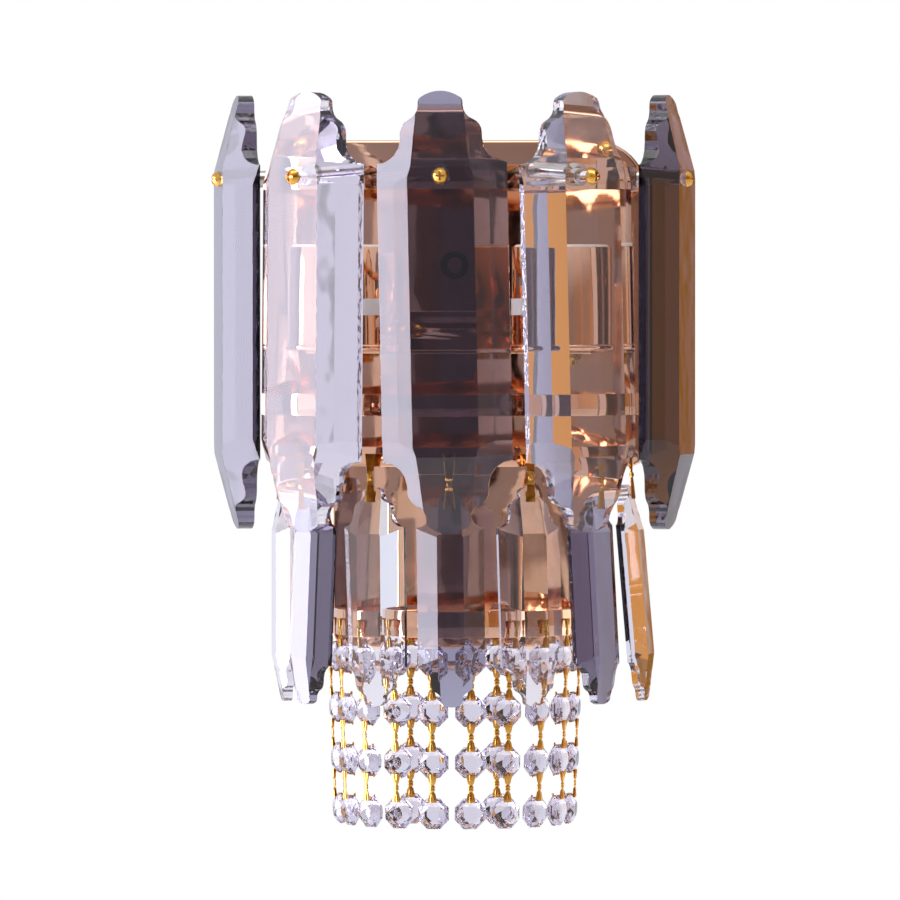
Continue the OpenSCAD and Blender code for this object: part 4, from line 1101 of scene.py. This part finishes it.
class SCONCE_OT_bead_strands(bpy.types.Operator):
    """Strings the twelve bead strands with their links"""

    bl_idname = "sconce.bead_strands"
    bl_label = "Bead strands"

    def execute(self, context):
        size = in_mm(context.scene.sconce.beads)
        bands = in_mm(context.scene.sconce.bands)
        use = finishes()
        hook_z = -205.5
        middle = bands.bead_radius - bands.strip / 2
        slope = (size.thick - size.girdle) / (size.wide - size.table)
        at_hole = size.girdle / 2 + slope * size.hole_in + 0.1
        at_ring = bands.strip / 2 + 1.2
        link_y = -max(at_hole + slope * 0.6, at_ring)
        hole_pitch = size.wide - 2 * size.hole_in
        pitch = hole_pitch + size.link_pitch
        bead = self.bead(size)
        top_link = self.link(size, link_y, at_ring, at_hole)
        link = self.link(size, link_y, at_hole, at_hole)
        for i in range(1, FRONT_STRANDS + 3):
            if i <= FRONT_STRANDS:
                azimuth = STRAND_FIRST_AZIMUTH + STRAND_STEP * (i - 1)
                place = on_ring(azimuth, middle, hook_z) @ askew(STRAND_TILT, 0)
            else:
                side = 1 if i == FRONT_STRANDS + 2 else -1
                place = Matrix.Translation((side * BACK_STRAND_X, RING_Y - BACK_STRAND_OUT, hook_z))
            beads, links = bmesh.new(), bmesh.new()
            for k in range(size.count):
                z = -size.link_pitch - hole_pitch / 2 - pitch * k
                stamp(beads, bead, place @ Matrix.Translation((0, 0, z)))
                stamp(links, link if k else top_link, place @ Matrix.Translation((0, 0, -pitch * k)))
            make_piece(f"bead_strand_{i}", beads, [use.bead], [f"beads_{i}"],
                       f"strand_{i}", 0)
            make_piece(f"bead_links_{i}", links, [use.yellow_gold], [f"links_{i}"],
                       f"strand_{i}", 50)
        for part in (bead, link, top_link):
            part.free()
        return {"FINISHED"}

    def bead(self, size):
        """An octagon bead: two tiers of facets on each side of a thin girdle, and a small table."""
        bm = bmesh.new()
        corner = size.wide / 2 / math.cos(math.radians(22.5))
        rings = []
        middle_wide, middle_thick, table_corner = corner * 0.735, size.thick * 0.335, 1.04
        for radius, y, turned in ((corner, size.girdle / 2, 22.5), (middle_wide, middle_thick, 0),
                                  (size.table / 2 * table_corner, size.thick / 2, 22.5)):
            made = bmesh.ops.create_circle(bm, segments=8, radius=radius,
                                           matrix=Matrix.Translation((0, -y, 0)) @ along_y()
                                           @ Matrix.Rotation(math.radians(turned), 4, "Z"))
            rings.append(made["verts"])
        for outer, inner in zip(rings, rings[1:]):
            both = outer + inner
            bmesh.ops.bridge_loops(bm, edges=[e for e in edges_at(both) if len(e.link_faces) < 2
                                              and all(v in both for v in e.verts)])
        bmesh.ops.contextual_create(bm, geom=[e for e in edges_at(rings[-1])
                                              if all(v in rings[-1] for v in e.verts)])
        mirror(bm, "Y", 0)
        bmesh.ops.bridge_loops(bm, edges=[e for e in bm.edges if e.is_boundary])
        bmesh.ops.triangulate(bm, faces=[f for f in bm.faces if len(f.verts) == 4
                                         and abs(f.normal.y) > 0.2])
        return close(bm)

    def link(self, size, y, upper_reach, lower_reach):
        """A link: two fluted bells on a double ring, with a wire prong at each end bent over behind."""
        half = size.link_pitch / 2
        flutes, flute_deep, flat, forward, prong_y, tail = 10, 0.15, 0.42, 0.35, 0.3, 1.9
        bell, waist, ring = size.link_wide / 2, size.link_waist / 2, size.link_knob / 2
        upper = [(ring * 0.85, 0), (ring, 0.45), (ring, 0.85), (waist, 1.3), (waist * 1.05, 1.7),
                 (bell * 0.68, half * 0.42), (bell * 0.82, half * 0.66), (bell, half * 0.92),
                 (bell * 0.92, half + 0.45), (bell * 0.4, half + 0.6), (0, half + 0.6)]
        line = upper[::-1] + [(r, -z) for r, z in upper[1:]]
        bm = lathe(line, 20)
        for v in bm.verts:
            if abs(v.co.z) > 1.75:
                flute = 1 + flute_deep * math.cos(flutes * math.atan2(v.co.y, v.co.x))
                v.co.x *= flute
                v.co.y *= flute
        move(bm, Matrix.Translation((0, y - forward, -half)) @ Matrix.Diagonal((1, flat, 1, 1)))
        d = size.link_wire
        add_prongs(bm, d, y - prong_y, d * 0.8, tail, 4,
                   ((0, -1, upper_reach + d), (-size.link_pitch, 1, lower_reach + d)))
        return bm


class SCONCE_OT_stage(bpy.types.Operator):
    """Sets up the pale floor, the soft studio light and the camera"""

    bl_idname = "sconce.stage"
    bl_label = "Studio"

    def execute(self, context):
        studio = context.scene.sconce.studio
        self.camera(context, studio)
        self.floor(context, studio)
        self.surround(context)
        for name, azimuth, height, away, size, power, tint in (
                ("softbox_left", -86, 0.0, 1.5, (1.3, 1.7), studio.left_power, "#e8e6fb"),
                ("softbox_right", 130, 0.1, 1.6, (0.7, 1.3), studio.right_power, "#fff4ea"),
                ("softbox_top", 0, 1.7, 0.5, (1.4, 1.0), studio.top_power, "#ffffff")):
            self.softbox(context, name, azimuth, height, away, size, power, tint)
        scene = context.scene
        scene.view_settings.view_transform = "Standard"
        scene.cycles.max_bounces = 26
        scene.cycles.transmission_bounces = 24
        scene.cycles.glossy_bounces = 12
        scene.cycles.sample_clamp_indirect = 8
        scene.cycles.blur_glossy = 0.5
        return {"FINISHED"}

    def camera(self, context, studio):
        """The camera, a long way off like the one of a catalogue picture."""
        data = bpy.data.cameras.new("camera")
        data.sensor_width = 36
        data.lens = data.sensor_width * studio.distance / studio.picture
        data.clip_end = 50
        camera = bpy.data.objects.new("camera", data)
        context.scene.collection.objects.link(camera)
        front_crystals = 0.047
        reach = studio.distance + front_crystals
        camera.location = (reach * math.sin(studio.azimuth) + studio.aim_x,
                           MIDDLE_Y - reach * math.cos(studio.azimuth), studio.eye)
        aim = Vector((studio.aim_x, MIDDLE_Y, studio.aim_z)) - camera.location
        camera.rotation_euler = aim.to_track_quat("-Z", "Y").to_euler()
        context.scene.camera = camera

    def floor(self, context, studio):
        """A pale painted floor, far below the object, with faint broad unevenness in its paint."""
        bm = bmesh.new()
        bmesh.ops.create_circle(bm, cap_ends=True, segments=96, radius=6)
        bmesh.ops.translate(bm, vec=(0, 0, -studio.floor_drop), verts=bm.verts[:])
        mesh = bpy.data.meshes.new("floor")
        bm.to_mesh(mesh)
        bm.free()
        material, output, place = new_material("pale_floor_paint")
        surface(material, output, Roughness=0.7,
                Base_Color=blend(material, noise(material, place, 400, 2.0), linear("#eeeeee"),
                                 linear("#f4f4f4")))
        mesh.materials.append(material)
        floor = bpy.data.objects.new("floor", mesh)
        context.scene.collection.objects.link(floor)

    def surround(self, context):
        """White paper for the camera; for glass and metal a room that changes with the azimuth.

        It is greyish round the camera, pale at the left and behind, warm at the right, and dark with
        an amber panel at the right behind the object.
        """
        world = bpy.data.worlds.new("studio")
        world.use_nodes = True
        world.node_tree.nodes.clear()
        context.scene.world = world
        look = node(world, "ShaderNodeTexCoord").outputs["Generated"]
        parts = node(world, "ShaderNodeSeparateXYZ", i0=look).outputs
        front = node(world, "ShaderNodeMath", {"operation": "MULTIPLY"}, i0=parts["Y"], i1=-1.0)
        azimuth = node(world, "ShaderNodeMath", {"operation": "ARCTAN2"}, i0=parts["X"],
                       i1=front.outputs["Value"])
        round_share = node(world, "ShaderNodeMapRange", Value=azimuth.outputs["Value"],
                           From_Min=-math.pi, From_Max=math.pi, To_Min=0.0, To_Max=1.0)
        walls = node(world, "ShaderNodeValToRGB", i0=round_share.outputs["Result"])
        stops = walls.color_ramp.elements
        stops[0].color, stops[1].color = linear(ROOM[0][1]), linear(ROOM[-1][1])
        for degrees, hex_colour in ROOM[1:-1]:
            stops.new((degrees + 180) / 360).color = linear(hex_colour)
        above = node(world, "ShaderNodeMapRange", {"interpolation_type": "SMOOTHSTEP"},
                     Value=parts["Z"], From_Min=0.35, From_Max=0.85, To_Min=0.0, To_Max=1.0)
        ceiling = linear("#f2f0f6")
        mixed = blend(world, above.outputs["Result"], walls.outputs["Color"], ceiling)
        room = node(world, "ShaderNodeBackground", Color=mixed, Strength=1.1)
        paper = node(world, "ShaderNodeBackground", Color=(1, 1, 1, 1), Strength=1.0)
        seen = node(world, "ShaderNodeLightPath").outputs["Is Camera Ray"]
        either = node(world, "ShaderNodeMixShader", i0=seen, i1=room.outputs["Background"],
                     i2=paper.outputs["Background"])
        output = node(world, "ShaderNodeOutputWorld")
        world.node_tree.links.new(either.outputs["Shader"], output.inputs["Surface"])

    def softbox(self, context, name, azimuth, height, away, size, power, tint):
        """A softbox that faces the sconce. It shows in reflections but not straight through glass."""
        light = bpy.data.lights.new(name, "AREA")
        light.shape = "RECTANGLE"
        light.size, light.size_y = size
        light.energy = power
        light.color = linear(tint)[:3]
        box = bpy.data.objects.new(name, light)
        context.scene.collection.objects.link(box)
        a = math.radians(azimuth)
        target = Vector((0, MIDDLE_Y, -0.12))
        box.location = target + Vector((away * math.sin(a), -away * math.cos(a), height))
        box.rotation_euler = (target - box.location).to_track_quat("-Z", "Y").to_euler()
        box.visible_camera = False
        box.visible_transmission = False


class SCONCE_PT_panel(bpy.types.Panel):
    """Lists the sconce's pieces"""

    bl_idname = "SCONCE_PT_panel"
    bl_label = "Crystal wall sconce"
    bl_space_type = "VIEW_3D"
    bl_region_type = "UI"
    bl_category = "Sconce"

    def draw(self, context):
        layout = self.layout
        for operator in OPERATORS:
            layout.operator(operator.bl_idname)
        for key in SconceSettings.__annotations__:
            group = getattr(context.scene.sconce, key)
            box = layout.box()
            box.label(text=key.capitalize())
            for name in group.__annotations__:
                box.prop(group, name)


GROUPS = (SconceFinishes, SconcePlate, SconceBands, SconceLamps, SconceUpper, SconceHanging,
          SconceBeads, SconceStudio, SconceSettings)
OPERATORS = (SCONCE_OT_stage, SCONCE_OT_wall_plate, SCONCE_OT_mounting, SCONCE_OT_lamp_parts,
             SCONCE_OT_bands, SCONCE_OT_upper_crystals, SCONCE_OT_hanging_crystals,
             SCONCE_OT_bead_strands)


def register():
    for cls in GROUPS + OPERATORS + (SCONCE_PT_panel,):
        bpy.utils.register_class(cls)
    bpy.types.Scene.sconce = bpy.props.PointerProperty(type=SconceSettings)


def unregister():
    del bpy.types.Scene.sconce
    for cls in reversed(GROUPS + OPERATORS + (SCONCE_PT_panel,)):
        bpy.utils.unregister_class(cls)


def main():
    register()
    for operator in OPERATORS:
        getattr(bpy.ops.sconce, operator.bl_idname.split(".")[1])()


if __name__ == "__main__":
    main()
